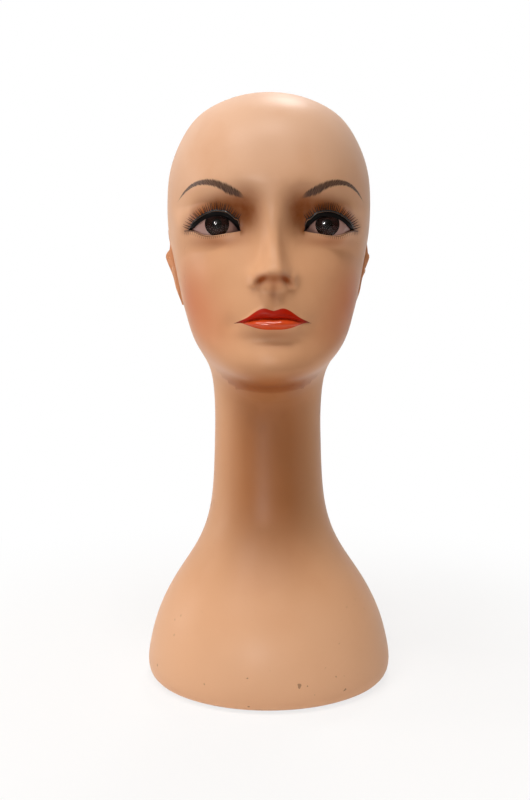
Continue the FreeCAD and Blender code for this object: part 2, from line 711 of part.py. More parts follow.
def elliptical_disc(name, half_x, half_y, low, high):
    """A body: an upright elliptical disc between two heights."""
    body = doc.addObject("PartDesign::Body", f"{name}_body")
    sketch = new_sketch(body, f"{name}_outline", "XY_Plane")
    bind(sketch, AttachmentOffset__Base__z=low)
    on_x, on_y = Vector(evaluate(half_x), 0, 0), Vector(0, evaluate(half_y), 0)
    wider = on_x.Length > on_y.Length
    long_end, short_end = (on_x, on_y) if wider else (on_y, on_x)
    ellipse = sketch.addGeometry(Part.Ellipse(long_end, short_end, Vector()), False)
    sketch.exposeInternalGeometry(ellipse)
    x_axis, y_axis = (ellipse + 1, ellipse + 2) if wider else (ellipse + 2, ellipse + 1)
    sketch.addConstraint(Sketcher.Constraint("Coincident", ellipse, 3, -1, 1))
    for label, expression, kind, axis, end_point, on_axis in (
        ("half_x", half_x, "DistanceX", x_axis, on_x, -1),
        ("half_y", half_y, "DistanceY", y_axis, on_y, -2),
    ):
        end = nearest_end(sketch.Geometry[axis], end_point)
        if axis == ellipse + 1:
            sketch.addConstraint(Sketcher.Constraint("PointOnObject", axis, end, on_axis))
        value = end_point.Length
        bound_constraint(sketch, label, expression, kind, -1, 1, axis, end, value)
    doc.recompute()
    pad = body.newObject("PartDesign::Pad", f"{name}_pad")
    pad.Profile = sketch
    bind(pad, Length=f"({high}) - ({low})")
    return labelled(body, name)


def drill(body, name, top, holes):
    """Round holes through a body, downwards from a height.  Each is (x, y, radius)."""
    sketch = new_sketch(body, f"{name}_circles", "XY_Plane")
    bind(sketch, AttachmentOffset__Base__z=top)
    for number, (x, y, radius) in enumerate(holes):
        place = Vector(evaluate(x), evaluate(y), 0)
        circle = sketch.addGeometry(Part.Circle(place, Vector(0, 0, 1), evaluate(radius)), False)
        bound_constraint(sketch, f"radius_{number}", radius, "Radius", circle, evaluate(radius))
        for axis, kind, text, on_axis in (("x", "DistanceX", x, -2), ("y", "DistanceY", y, -1)):
            if is_zero(evaluate(text)):
                sketch.addConstraint(Sketcher.Constraint("PointOnObject", circle, 3, on_axis))
            else:
                value = evaluate(text)
                label = f"{axis}_{number}"
                bound_constraint(sketch, label, text, kind, -1, 1, circle, 3, value)
    doc.recompute()
    pocket = body.newObject("PartDesign::Pocket", f"{name}_holes")
    pocket.Profile = sketch
    pocket.Type = "ThroughAll"
    doc.recompute()
    return pocket


rim_opening = elliptical_disc(
    "rim_opening", HALF_OPENING_X, HALF_OPENING_Y, "-sizes.bust_height", PLATE_TOP
)
head_with_ears = fuse(
    "head_with_ears", outer_form, ear("left_ear", 1), ear("right_ear", -1), *lid_balls
)
front_room = room("front_room", f"-{FAR}", "sizes.seam_offset", "sizes.rim_lift", TALL)
rear_room = room("rear_room", "sizes.seam_offset", FAR, "sizes.rim_lift", TALL)
front_half = common("front_half", head_with_ears, front_room)
rear_half = common("rear_half", outer_form, rear_room)
nodes.append(cut("front_shell", front_half, hollow, rim_opening, *eye_cuts))
nodes.append(cut("rear_shell", rear_half, hollow, rim_opening))

strip_room = room(
    "strip_room",
    "sizes.seam_offset - sizes.strip_width / 2",
    "sizes.seam_offset + sizes.strip_width / 2",
    "sizes.strip_foot",
    TALL,
)
nodes.append(common("seam_strip", cut("strip_skin", inner_form, strip_form), strip_room))


# ---------------------------------------------------------------------------------------------
# The base plate, and the blocks that it is screwed to
# ---------------------------------------------------------------------------------------------
base_plate = elliptical_disc(
    "base_plate",
    f"{HALF_OPENING_X} - sizes.plate_gap",
    f"{HALF_OPENING_Y} - sizes.plate_gap",
    "sizes.foot_height",
    PLATE_TOP,
)
drill(
    base_plate,
    "plate",
    PLATE_TOP,
    [("0", "0", f"{SOCKET_RADIUS} + sizes.hole_gap")]
    + [(x, y, "sizes.plate_screw_radius + sizes.hole_gap") for x, y in PLATE_SCREW_PLACES]
    + [(x, y, "sizes.socket_screw_radius") for x, y in SOCKET_SCREW_PLACES]
    + [(x, y, "sizes.bolt_radius + sizes.hole_gap") for x, y in BOLT_PLACES],
)
nodes.append(base_plate)


def screw_block(number, x, y):
    """A block glued to the inside of the bust, with a plate screw's hole in its underside."""
    lengthwise = evaluate(x) == 0
    across, inwards = "sizes.block_length", "2 * sizes.block_reach"
    place = cylinder(
        f"block_{number}_bore", "sizes.plate_screw_radius", "sizes.plate_screw_bite", x, y, PLATE_TOP
    )
    outward = -1 if evaluate(x) + evaluate(y) < 0 else 1
    if lengthwise:
        near = f"({HALF_OPENING_Y} - sizes.block_reach)"
        corner = ("-sizes.block_length / 2", near if outward > 0 else f"-{near} - {inwards}")
    else:
        near = f"({HALF_OPENING_X} - sizes.block_reach)"
        corner = (near if outward > 0 else f"-{near} - {inwards}", "-sizes.block_length / 2")
    block = box(
        f"block_{number}",
        Length=across if lengthwise else inwards,
        Width=inwards if lengthwise else across,
        Height="sizes.block_height",
        Placement__Base__x=corner[0],
        Placement__Base__y=corner[1],
        Placement__Base__z=PLATE_TOP,
    )
    return cut(f"screw_block_{number}", common(f"block_{number}_fit", block, inner_form), place)


blocks = [screw_block(number, x, y) for number, (x, y) in enumerate(PLATE_SCREW_PLACES, 1)]
nodes.append(group("plate_blocks", *blocks))


# ---------------------------------------------------------------------------------------------
# The socket for a stand, the ballast, the fasteners and the feet
# ---------------------------------------------------------------------------------------------
BORE_TOP = "(sizes.foot_height + sizes.socket_bore_depth)"
SOCKET_TOP = f"({BORE_TOP} + sizes.socket_wall)"
stand_socket = turned(
    "stand_socket",
    [
        ("sizes.socket_bore_radius", "sizes.foot_height"),
        (SOCKET_RADIUS, "sizes.foot_height"),
        (SOCKET_RADIUS, PLATE_TOP),
        ("sizes.socket_flange_radius", PLATE_TOP),
        ("sizes.socket_flange_radius", FLANGE_TOP),
        (SOCKET_RADIUS, FLANGE_TOP),
        (SOCKET_RADIUS, SOCKET_TOP),
        ("0", SOCKET_TOP),
        ("0", BORE_TOP),
        ("sizes.socket_bore_radius", BORE_TOP),
    ],
)
first_hole = drill(
    stand_socket,
    "flange",
    FLANGE_TOP,
    [(*SOCKET_SCREW_PLACES[3], "sizes.socket_screw_radius + sizes.hole_gap")],
)
flange_holes = stand_socket.newObject("PartDesign::PolarPattern", "flange_hole_pattern")
flange_holes.Originals = [first_hole]
flange_holes.Axis = (first_hole.Profile[0], ["N_Axis"])
flange_holes.Angle = 360
flange_holes.Occurrences = len(SOCKET_SCREW_PLACES)
stand_socket.Tip = flange_holes
nodes.append(stand_socket)

ballast_ring = turned(
    "ballast_ring",
    [
        (BALLAST_BORE, PLATE_TOP),
        ("sizes.ballast_radius", PLATE_TOP),
        ("sizes.ballast_radius", BALLAST_TOP),
        (BALLAST_BORE, BALLAST_TOP),
    ],
)
bolt_hole = "sizes.bolt_radius + sizes.hole_gap"
drill(ballast_ring, "ballast", BALLAST_TOP, [(x, y, bolt_hole) for x, y in BOLT_PLACES])
nodes.append(ballast_ring)


def fastener(name, radius, head_radius, head_height, seat, tip):
    """A screw or bolt with a flat round head, its head's underside at the seat.

    It points up when its tip is above the seat, and down when it is below.
    """
    head = f"{seat} + {head_height}" if evaluate(tip) < evaluate(seat) else f"{seat} - {head_height}"
    return turned(
        name,
        [("0", head), (head_radius, head), (head_radius, seat), (radius, seat), (radius, tip),
         ("0", tip)],
    )


NUT_TOP = f"({BALLAST_TOP} + sizes.nut_height)"
plate_screw = fastener(
    "plate_screw",
    "sizes.plate_screw_radius",
    "sizes.screw_head_radius",
    "sizes.screw_head_height",
    "sizes.foot_height",
    f"{PLATE_TOP} + sizes.plate_screw_bite",
)
socket_screw = fastener(
    "socket_screw",
    "sizes.socket_screw_radius",
    "sizes.screw_head_radius",
    "sizes.screw_head_height",
    FLANGE_TOP,
    f"{PLATE_TOP} - sizes.socket_screw_bite",
)
ballast_bolt = fastener(
    "ballast_bolt",
    "sizes.bolt_radius",
    "sizes.bolt_head_radius",
    "sizes.bolt_head_height",
    "sizes.foot_height",
    f"{NUT_TOP} + sizes.bolt_tail",
)
nut_blank = doc.addObject("Part::Prism", "nut_blank")
nut_blank.Polygon = 6
bind(
    nut_blank,
    Circumradius="sizes.nut_radius",
    Height="sizes.nut_height",
    Placement__Base__z=BALLAST_TOP,
)
nut = cut(
    "nut",
    nut_blank,
    cylinder("nut_bore", "sizes.bolt_radius", "sizes.nut_height", z=BALLAST_TOP),
)
rubber_foot = turned(
    "rubber_foot",
    [
        ("0", "0"),
        ("sizes.foot_radius - sizes.foot_taper", "0"),
        ("sizes.foot_radius", "sizes.foot_height"),
        ("0", "sizes.foot_height"),
    ],
)
nodes.append(copies("plate_screws", plate_screw, PLATE_SCREW_PLACES))
nodes.append(copies("socket_screws", socket_screw, SOCKET_SCREW_PLACES))
nodes.append(copies("ballast_bolts", ballast_bolt, BOLT_PLACES))
nodes.append(copies("ballast_nuts", nut, BOLT_PLACES))
nodes.append(copies("rubber_feet", rubber_foot, FOOT_PLACES))


# ---------------------------------------------------------------------------------------------
# Rebuild, check and write one file for each piece
# ---------------------------------------------------------------------------------------------
doc.recompute()
for thing in doc.Objects:
    if "Invalid" in thing.State or "Error" in thing.State:
        raise RuntimeError(f"{thing.Name} failed: {thing.State}")
os.makedirs("parts", exist_ok=True)
shapes = {node.Label: Part.getShape(node) for node in nodes}
for name, shape in shapes.items():
    if shape.isNull() or not shape.isValid() or not shape.Solids:
        raise RuntimeError(f"{name} isn't a valid solid")
for name, shape in shapes.items():
    shape.exportStep(f"parts/{name}.step")
    print(f"{name}: {len(shape.Solids)} solid(s), {shape.Volume / 1000:.2f} cm3")
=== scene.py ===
# %% [markdown]
# # A mannequin display head
# A bald head on a long neck and a flared bust, moulded as a front and a rear half shell, with
# domed eyes behind the lids, lash strips glued to the lids and a painted face.  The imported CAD
# model gives every place and size.  Most pieces are surfaces worked out with numpy, because a
# moulded face has no flat or round faces to start from.

import math

import bpy
import numpy as np
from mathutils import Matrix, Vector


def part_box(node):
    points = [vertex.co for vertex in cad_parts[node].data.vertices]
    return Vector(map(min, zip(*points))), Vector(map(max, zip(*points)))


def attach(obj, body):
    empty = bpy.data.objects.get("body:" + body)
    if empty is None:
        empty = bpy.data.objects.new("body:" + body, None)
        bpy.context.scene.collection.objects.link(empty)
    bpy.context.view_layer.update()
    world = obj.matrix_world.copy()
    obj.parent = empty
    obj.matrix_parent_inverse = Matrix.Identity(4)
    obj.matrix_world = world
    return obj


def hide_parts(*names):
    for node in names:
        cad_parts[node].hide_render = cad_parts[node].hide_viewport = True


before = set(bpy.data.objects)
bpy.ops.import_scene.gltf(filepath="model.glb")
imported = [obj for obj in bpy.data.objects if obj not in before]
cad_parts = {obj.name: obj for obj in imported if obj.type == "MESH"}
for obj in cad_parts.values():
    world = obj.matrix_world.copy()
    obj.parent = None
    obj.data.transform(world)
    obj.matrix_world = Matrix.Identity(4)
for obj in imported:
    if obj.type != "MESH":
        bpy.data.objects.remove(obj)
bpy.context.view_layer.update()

# %% [markdown]
# ## Millimetres and meshes
# The tables below are in millimetres, as a mould maker's drawing is, and `put_mesh` turns them
# into metres.  A piece is one array of points and a few arrays of faces.  Points that fall on the
# same place are welded, which closes the poles and the seams between neighbouring patches.

# %% Mesh helpers
MM = 0.001
WELD_DECIMALS = 4


def numbers(shape):
    """The numbers of a grid's points, in the grid's own shape."""
    return np.arange(math.prod(shape)).reshape(shape)


def grid_faces(index):
    """Quads between neighbours in the rows and columns of one or many grids of point numbers."""
    corners = [
        index[..., :-1, :-1], index[..., :-1, 1:], index[..., 1:, 1:], index[..., 1:, :-1],
    ]
    return np.stack(corners, -1).reshape(-1, 4)


def ring_faces(index):
    """Quads of grids whose last column joins their first."""
    return grid_faces(np.concatenate([index, index[..., :1]], -1))


def weld(points, faces):
    """One point for each place.  A quad that lost a corner becomes a triangle."""
    _, first, index = np.unique(
        np.round(points, WELD_DECIMALS), axis=0, return_index=True, return_inverse=True
    )
    index = index.reshape(-1)
    clean = []
    for group in faces:
        group = index[group]
        same = group == np.roll(group, -1, axis=1)
        lost = same.sum(1)
        clean.append(group[lost == 0])
        if group.shape[1] == 4:
            short = group[lost == 1]
            kept = ~same[lost == 1]
            clean.append(short[kept].reshape(-1, 3))
    return first, [group for group in clean if len(group)]


def put_mesh(name, points, faces, fields=None, sharp=60):
    """A mesh object at the origin from points in millimetres, faces and per-point values."""
    first, faces = weld(points, faces)
    counts = np.concatenate([np.full(len(group), group.shape[1]) for group in faces])
    corners = np.concatenate([group.reshape(-1) for group in faces])
    mesh = bpy.data.meshes.new(name)
    mesh.vertices.add(len(first))
    mesh.vertices.foreach_set("co", (points[first] * MM).astype(np.float32).reshape(-1))
    mesh.loops.add(len(corners))
    mesh.loops.foreach_set("vertex_index", corners.astype(np.int32))
    mesh.polygons.add(len(counts))
    mesh.polygons.foreach_set("loop_start", (np.cumsum(counts) - counts).astype(np.int32))
    mesh.update(calc_edges=True)
    mesh.validate()
    mesh.polygons.foreach_set("use_smooth", np.ones(len(mesh.polygons), bool))
    mesh.set_sharp_from_angle(angle=math.radians(sharp))
    for field, values in (fields or {}).items():
        layer = mesh.attributes.new(field, "FLOAT", "POINT")
        layer.data.foreach_set("value", values[first].astype(np.float32))
    piece = bpy.data.objects.new(name, mesh)
    bpy.context.scene.collection.objects.link(piece)
    triangles = int((counts - 2).sum())
    print(f"{name}: {len(first)} points, {triangles} triangles")
    return piece


# %% [markdown]
# ## Smooth curves through a few measures
# A sculptor marks a few heights and joins them by eye.  Here a natural cubic spline does that: it
# passes through every mark and its bend never jumps.

# %% Curves and soft steps
def spline(marks, values):
    """The natural cubic spline through the values.  Its bends solve a tridiagonal system."""
    marks, values = np.asarray(marks, float), np.asarray(values, float)
    count, step = len(marks), np.diff(marks)
    system = np.eye(count)
    right = np.zeros_like(values)
    inner = np.arange(1, count - 1)
    system[inner, inner - 1] = step[:-1]
    system[inner, inner] = 2 * (step[:-1] + step[1:])
    system[inner, inner + 1] = step[1:]
    slope = (np.diff(values, axis=0).T / step).T
    right[1:-1] = 6 * np.diff(slope, axis=0)
    bend = np.linalg.solve(system, right)

    def curve(place):
        place = np.asarray(place, float)
        k = np.clip(np.searchsorted(marks, place, side="right") - 1, 0, count - 2)
        width = step[k]
        before, after = (marks[k + 1] - place) / width, (place - marks[k]) / width
        if values.ndim > 1:
            before, after, width = before[..., None], after[..., None], width[..., None]
        bent = (before**3 - before) * bend[k] + (after**3 - after) * bend[k + 1]
        return before * values[k] + after * values[k + 1] + bent * width**2 / 6

    return curve


def through(*marks):
    """A spline through (place, value) marks that stays level beyond its ends."""
    places, values = zip(*marks)
    curve = spline(places, values)
    return lambda place: curve(np.clip(place, places[0], places[-1]))


def soft_step(low, high, value):
    """0 below low, 1 above high, and a smooth S between them.  Low may be the larger."""
    part = np.clip((value - low) / (high - low), 0, 1)
    return part * part * (3 - 2 * part)


def hill(x, z, middle, reach, power=2.0):
    """A bell-shaped hill of height 1, mirrored in x, with its own reach across and up."""
    across, up = (np.abs(x) - middle[0]) / reach[0], (z - middle[1]) / reach[1]
    return np.exp(-0.5 * (np.abs(across) ** power + np.abs(up) ** power))


def soft_max(a, b, blend):
    """The larger of two heights, rounded over where they differ by less than the blend."""
    part = np.clip(0.5 + 0.5 * (b - a) / blend, 0, 1)
    return a * (1 - part) + b * part + blend * part * (1 - part)


# %% [markdown]
# ## The form of head, neck and bust
# A mould maker lofts such a form from a front, a side and a back rail.  The same stations that
# the CAD model is lofted through are used here, so the skin lies on the CAD solid.  Between the
# rails each section is a superellipse, which is an ellipse whose fullness can be changed.

# %% Rails
# Front rail (y, z), side rail (x, y, z), back rail (y, z), fullness in front and behind.
STATIONS = [
    (-66, -8, 77, 0, -8, 66, -8, 2.0, 2.0),
    (-75, 0, 86.5, 0, 0, 75, 0, 2.0, 2.0),
    (-81, 3, 92.3, 0, 3, 81, 3, 2.0, 2.0),
    (-84, 10, 95.5, 0, 10, 84, 10, 2.0, 2.0),
    (-83, 28, 93.8, 1, 28, 83.5, 28, 2.0, 2.0),
    (-76.5, 50, 87.5, 3, 50, 82, 50, 2.0, 2.0),
    (-61.5, 74, 75.2, 8, 74, 79.5, 74, 2.0, 2.0),
    (-42, 98, 59, 14, 98, 76, 98, 2.0, 2.0),
    (-27.5, 118, 49.7, 20, 118, 73, 118, 2.0, 2.0),
    (-19, 142, 44.9, 25, 142, 71, 142, 2.0, 2.0),
    (-14.5, 175, 43, 28, 178, 70, 178, 2.0, 2.0),
    (-13, 206, 42.6, 27, 210, 70.5, 214, 2.0, 2.0),
    (-20, 224, 44.6, 18, 236, 72.5, 236, 2.0, 2.0),
    (-46, 233, 50, 4, 252, 75.5, 250, 2.0, 1.9),
    (-70, 237.5, 56.5, -6, 265, 79.5, 263, 2.05, 1.7),
    (-82, 247, 60.5, -6, 276, 84, 274, 2.1, 1.65),
    (-82, 262, 63, -6, 285, 89, 286, 2.1, 1.65),
    (-81, 283, 66, -4, 296, 96, 303, 2.1, 1.7),
    (-79, 304, 69.5, 0, 312, 101.5, 318, 2.05, 1.8),
    (-76, 326, 73.5, 6, 330, 104.5, 334, 2.0, 1.9),
    (-77, 347, 76.8, 12, 348, 106, 350, 2.05, 2.0),
    (-82, 371, 77.5, 16, 370, 106, 370, 2.15, 2.0),
    (-80, 391, 75.6, 17, 390, 103.5, 388, 2.2, 2.0),
    (-73, 410.5, 69, 17, 409.5, 94.5, 408.5, 2.2, 2.0),
    (-58, 428, 57.5, 16, 428, 78, 427, 2.15, 2.0),
    (-38, 439.5, 42.5, 15, 439.5, 58, 439, 2.05, 2.0),
    (-14, 447, 23, 15, 447, 36, 447, 2.0, 2.0),
]
CROWN = (15, 449.5, 0, 15, 449.5, 15, 449.5, 2.0, 2.0)
SPACING_POWER = 0.6
RAIL_SAMPLES = 3000


def past_crown(station):
    """A station mirrored over the crown, so that the rails run on smoothly."""
    front_y, front_z, x, y, z, back_y, back_z, front_full, back_full = station
    return (back_y, back_z, -x, y, z, front_y, front_z, back_full, front_full)


rail_rows = np.array(
    STATIONS + [CROWN, past_crown(STATIONS[-1]), past_crown(STATIONS[-2])], float
)
gaps = np.sqrt((np.diff(rail_rows[:, :7], axis=0) ** 2).sum(1))
rail_marks = np.concatenate([[0], np.cumsum(gaps**SPACING_POWER)])
rails = spline(rail_marks, rail_rows)
crown_mark = rail_marks[len(STATIONS)]


def form(angle, mark):
    """Points of the plain form.  x is the half width times cos(angle) to the power 2 / fullness,
    y goes from the side rail to the front or back rail by the same power of sin(angle), and z
    follows its square.  Angle 0 is the +X side and a quarter turn is the front."""
    front_y, front_z, side_x, side_y, side_z, back_y, back_z, front_full, back_full = np.moveaxis(
        rails(mark), -1, 0
    )
    across, along = np.cos(angle), np.sin(angle)
    in_front = along >= 0
    power = 2 / np.where(in_front, front_full, back_full)
    end_y, end_z = np.where(in_front, front_y, back_y), np.where(in_front, front_z, back_z)
    x = side_x * np.sign(across) * np.abs(across) ** power
    y = side_y + (end_y - side_y) * np.abs(along) ** power
    z = side_z + (end_z - side_z) * along**2
    return np.stack([x, y, z], -1)


fine_marks = np.linspace(0, crown_mark, RAIL_SAMPLES)
fine_rails = rails(fine_marks)
print("rails:", len(STATIONS), "stations, crown at", CROWN[1], "mm")


# %% Where the plain face lies
NEWTON_STEPS, SLOPE_STEP, LEAST_SLOPE = 10, 0.02, 0.2


def height_at(mark, x):
    """Height of the front skin at the place x, and the share of depth that it has there."""
    row = rails(mark)
    half, full = row[..., 2], row[..., 7]
    across = np.clip(np.abs(x) / np.maximum(half, 1e-6), 0, 0.9999) ** (full / 2)
    along = np.sqrt(1 - across**2)
    return row[..., 4] + (row[..., 1] - row[..., 4]) * along**2, row, along


def plain_front(x, z):
    """y of the plain form's front at (x, z), by Newton's steps along the rails."""
    mark = np.interp(z, fine_rails[:, 1], fine_marks)
    for _ in range(NEWTON_STEPS):
        here = height_at(mark, x)[0]
        slope = (height_at(mark + SLOPE_STEP, x)[0] - here) / SLOPE_STEP
        mark = np.clip(mark - (here - z) / np.maximum(slope, LEAST_SLOPE), 0, crown_mark)
    _, row, along = height_at(mark, x)
    return row[..., 3] + (row[..., 0] - row[..., 3]) * along ** (2 / row[..., 7])


print("plain forehead at y =", float(plain_front(np.array(0.0), np.array(385.0))))

# %% [markdown]
# ## The face
# The face is modelled as clay laid on the plain form: each feature says how far forward it
# carries the skin at a place (x, z).  Bell-shaped hills make soft forms, splines across the mouth
# and down the nose make the drawn edges.

# %% Nose
NOSE_FOOT, NOSE_TOP = 292, 372
nose_height = through(
    (NOSE_FOOT, 0), (298, 0), (302, 0.8), (304.5, 4.4), (307.5, 10.4), (310.5, 15.8), (313, 19.4),
    (315.5, 21.0), (318, 20.6), (322, 18.0), (328, 13.8), (336, 9.6), (344, 6.4), (352, 4.4),
    (362, 1.8), (NOSE_TOP, 0),
)
nose_half_width = through(
    (298, 11), (303, 12.0), (307, 12.4), (311, 12.2), (315, 11.0), (320, 9.0), (328, 7.3),
    (338, 6.4), (348, 7.2), (358, 9.6), (NOSE_TOP, 16),
)


def nose(x, z):
    """Ridge, tip, wings and slanting nostril dents.  The ridge's section is flat on top and falls
    off steeply beyond its half width."""
    height = np.clip(nose_height(z), 0, None) * ((z > NOSE_FOOT) & (z < NOSE_TOP))
    ridge = height / (1 + (np.abs(x) / nose_half_width(z)) ** 3.6) ** 1.2
    wing = 7.8 * hill(x, z, (12.6, 309.6), (3.2, 4.2), 2.5) * soft_step(303.0, 306.5, z)
    nostril = -3.8 * hill(np.abs(x) + 0.5 * (z - 307.5), z, (9.4, 308.0), (2.3, 2.6))
    return soft_max(ridge, wing, 4.0) - 1.0 + nostril


# %% Mouth
LIP_END = 26.6
mouth_line = through(
    (0, 283.2), (4, 283.5), (9, 283.3), (14.5, 282.5), (19.7, 281.2), (LIP_END, 280.2),
)
upper_lip_top = through(
    (0, 289.1), (2.6, 289.8), (5.6, 290.7), (9, 290.2), (13.2, 287.8), (17.3, 284.9),
    (21.2, 282.8), (LIP_END, 280.4),
)
lower_lip_bottom = through(
    (0, 276.2), (8.7, 276.6), (14.3, 278.0), (18.5, 279.5), (21.5, 280.4), (LIP_END, 280.0),
)


def lips(x, z):
    """Two rolls that meet in a crease.  Each rises steeply from the crease and falls off softly
    towards the edge of the lip."""
    side = np.abs(x)
    line, top, bottom = mouth_line(side), upper_lip_top(side), lower_lip_bottom(side)
    above = np.clip((z - line) / np.maximum(top - line, 0.3), 0, 3)
    below = np.clip((line - z) / np.maximum(line - bottom, 0.3), 0, 3)
    upper = (1 - np.exp(-above / 0.36)) * np.exp(-((np.clip(above - 0.4, 0, None) / 0.62) ** 2))
    lower = (1 - np.exp(-below / 0.34)) * np.exp(-((np.clip(below - 0.46, 0, None) / 0.46) ** 2))
    upper = np.where(z >= line, upper, 0) * soft_step(26.5, 14, side)
    lower = np.where(z < line, lower, 0) * soft_step(23.5, 10, side)
    lip_edge = np.exp(-(((above - 1.02) / 0.16) ** 2)) * soft_step(25, 13, side)
    crease = np.exp(-(((z - line) / 0.7) ** 2)) * soft_step(29, 20, side)
    return 2.9 * upper + 4.6 * lower + 0.2 * lip_edge - 0.9 * crease


# %% The whole relief
# (height, middle, reach) of each soft form beside the nose and the mouth.
SOFT_FORMS = [
    (6.2, (0, 287), (24, 16)),  # muzzle
    (-0.7, (0, 296), (2.6, 4.4)),  # groove under the nose
    (4.8, (0, 252), (16, 10)),  # chin
    (-3.2, (0, 269.5), (14, 3.8)),  # hollow under the lip
    (-1.9, (28.6, 278.6), (4.2, 4.6)),  # corner of the mouth
    (-8.0, (20.0, 350.5), (7.5, 10.5)),  # inner corner of the socket
    (-2.6, (36, 362.5), (16, 5.5)),  # above the lid
    (-1.2, (38, 334), (14, 5)),  # under the eye
    (1.2, (33, 377), (20, 8)),  # brow ridge
    (2.5, (46, 317), (13, 10)),  # cheekbone
    (-1.2, (40, 288), (11, 13)),  # hollow of the cheek
]


def relief(x, z):
    """How far the features carry the skin forward."""
    forms = sum(height * hill(x, z, middle, reach) for height, middle, reach in SOFT_FORMS)
    return forms + nose(x, z) + lips(x, z)


print("nose tip stands", round(float(relief(np.array(0.0), np.array(315.5))), 1), "mm forward")

# %% [markdown]
# ## Eyes and lids
# The eye domes are set from behind, and the lids are part of the moulded face.  Round each dome
# the skin follows a ball a little larger than the dome, so that the lid has a thickness.  The
# opening is drawn by two curves from the inner to the outer corner, and its edge rolls inwards
# to the dome.

# %% Where the eyes are
EYE_TURN = math.radians(1)
EYE_RADIUS = 19.0
IRIS_RADIUS = 8.4
IRIS_DEPTH = 16.5
LID_BLEND = 3.0
CONE_START = 0.86
gaze = np.array([math.sin(EYE_TURN), -math.cos(EYE_TURN), 0.0])
iris_low, iris_high = (np.array(corner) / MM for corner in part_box("left_iris"))
eye_centre = (iris_low + iris_high) / 2 - gaze * IRIS_DEPTH
SIDES = ((1, "left"), (-1, "right"))
CORNER_IN, CORNER_OUT = (22.0, 343.3), (58.8, 344.6)
upper_lid = through(
    CORNER_IN, (22.5, 346.6), (25.3, 351.9), (30.0, 355.4), (34.7, 356.8), (39.3, 357.2),
    (43.9, 356.2), (48.7, 354.0), (53.6, 350.6), (56.8, 347.2), CORNER_OUT,
)
lid_shadow = through(
    CORNER_IN, (23.2, 343.9), (25.6, 346.6), (28.6, 349.7), (32.4, 352.2), (36.5, 353.3),
    (41.0, 353.1), (45.5, 351.8), (50.0, 349.3), (54.2, 346.2), (56.8, 345.0), CORNER_OUT,
)
lower_lid = through(
    CORNER_IN, (25.0, 342.7), (29.0, 341.9), (34.0, 341.1), (39.3, 340.2), (43.9, 340.1),
    (47.5, 340.6), (51.3, 342.0), (54.4, 343.4), CORNER_OUT,
)
LOWER_ROLL = 0.35
print("left eye centre in mm:", np.round(eye_centre, 2))


def ball_front(x, z, radius):
    """y of the front of a ball round an eye's centre.  Near its outline the ball goes over into
    the cone that touches it there, so that it has no upright wall."""
    away = np.hypot(np.abs(x) - eye_centre[0], z - eye_centre[2])
    edge = CONE_START * radius
    near = np.minimum(away, edge)
    slope = CONE_START / math.sqrt(1 - CONE_START**2)
    return eye_centre[1] - np.sqrt(radius**2 - near**2) + (away - near) * slope


def skin_front(x, z, plain):
    """y of the finished face: the plain form less its relief, carried out over the lids."""
    lid = EYE_RADIUS + 1.3 + 1.0 * soft_step(339, 350, z)
    ball = ball_front(x, z, lid)
    face = -(plain - relief(x, z))
    return -soft_max(face, -ball, LID_BLEND + 4.0 * soft_step(342, 335, z))


# %% [markdown]
# ## One skin, two shells
# The head is moulded in two halves that meet in an upright plane behind the ears.  For each
# height the angle where the form crosses that plane is worked out, and the columns of the grid
# are spread between those angles, so each half ends exactly on the seam.  Rows and columns lie
# close together on the face, where the detail is.

# %% Rows and columns
SEAM_Y = 28.0
RIM_Z = 0.6
EYE_LINE_Z = 343.8
FACE_SHARE = 0.88
FACE_COLUMNS, SIDE_COLUMNS, REAR_COLUMNS = 192, 22, 72
LOWER_ROWS, UPPER_ROWS, CROWN_ROWS = 216, 104, 8
DENSITY_SAMPLES, FOOT_SAMPLES = 2001, 400


def seam_angle(mark):
    """The angle on the +X side at which the form crosses the seam plane."""
    row = rails(mark)
    behind = SEAM_Y - row[..., 3]
    back_share = np.clip(behind / (row[..., 5] - row[..., 3]), 0, 1) ** (row[..., 8] / 2)
    front_share = np.clip(-behind / (row[..., 3] - row[..., 0]), 0, 1) ** (row[..., 7] / 2)
    return np.arcsin(front_share) - np.arcsin(back_share)


def spread(count, low, high, density):
    """count + 1 marks from low to high, closer together where the density is higher."""
    fine = np.linspace(low, high, DENSITY_SAMPLES)
    weight = density(fine)
    total = np.concatenate([[0], np.cumsum((weight[1:] + weight[:-1]) / 2)])
    return np.interp(np.linspace(0, total[-1], count + 1), total, fine)


def face_density(mark):
    """Six times as dense on the face as on the neck and over the forehead."""
    z = rails(mark)[:, 1]
    return 1 + 5 * soft_step(236, 246, z) * soft_step(392, 378, z)


rim_mark = float(np.interp(RIM_Z, fine_rails[:FOOT_SAMPLES, 1], fine_marks[:FOOT_SAMPLES]))
slit_mark = float(np.interp(EYE_LINE_Z, fine_rails[:, 1], fine_marks))
top_part = fine_marks > rail_marks[len(STATIONS) - 4]
seam_top_mark = float(np.interp(-SEAM_Y, -fine_rails[top_part, 5], fine_marks[top_part]))
lower_marks = spread(LOWER_ROWS, rim_mark, slit_mark, face_density)
upper_marks = spread(UPPER_ROWS, slit_mark, seam_top_mark, face_density)
crown_marks = np.linspace(seam_top_mark, crown_mark, CROWN_ROWS + 1)
side_share = np.linspace(0, 1, SIDE_COLUMNS + 1) ** 1.2
face_angles = np.arccos(np.linspace(FACE_SHARE, -FACE_SHARE, FACE_COLUMNS + 1))


def front_angles(mark):
    """Angles of the front half's columns, from the +X seam over the face to the -X seam."""
    seam = seam_angle(mark)[:, None]
    right = seam + (face_angles[0] - seam) * side_share
    face = np.broadcast_to(face_angles, (len(mark), len(face_angles)))
    return np.hstack([right[:, :-1], face, math.pi - right[:, -2::-1]])


def rear_angles(mark):
    """Angles of the rear half's columns, from the -X seam round the back to the +X seam."""
    seam = seam_angle(mark)[:, None]
    share = np.linspace(0, 1, REAR_COLUMNS + 1)
    return math.pi - seam + (math.pi + 2 * seam) * share


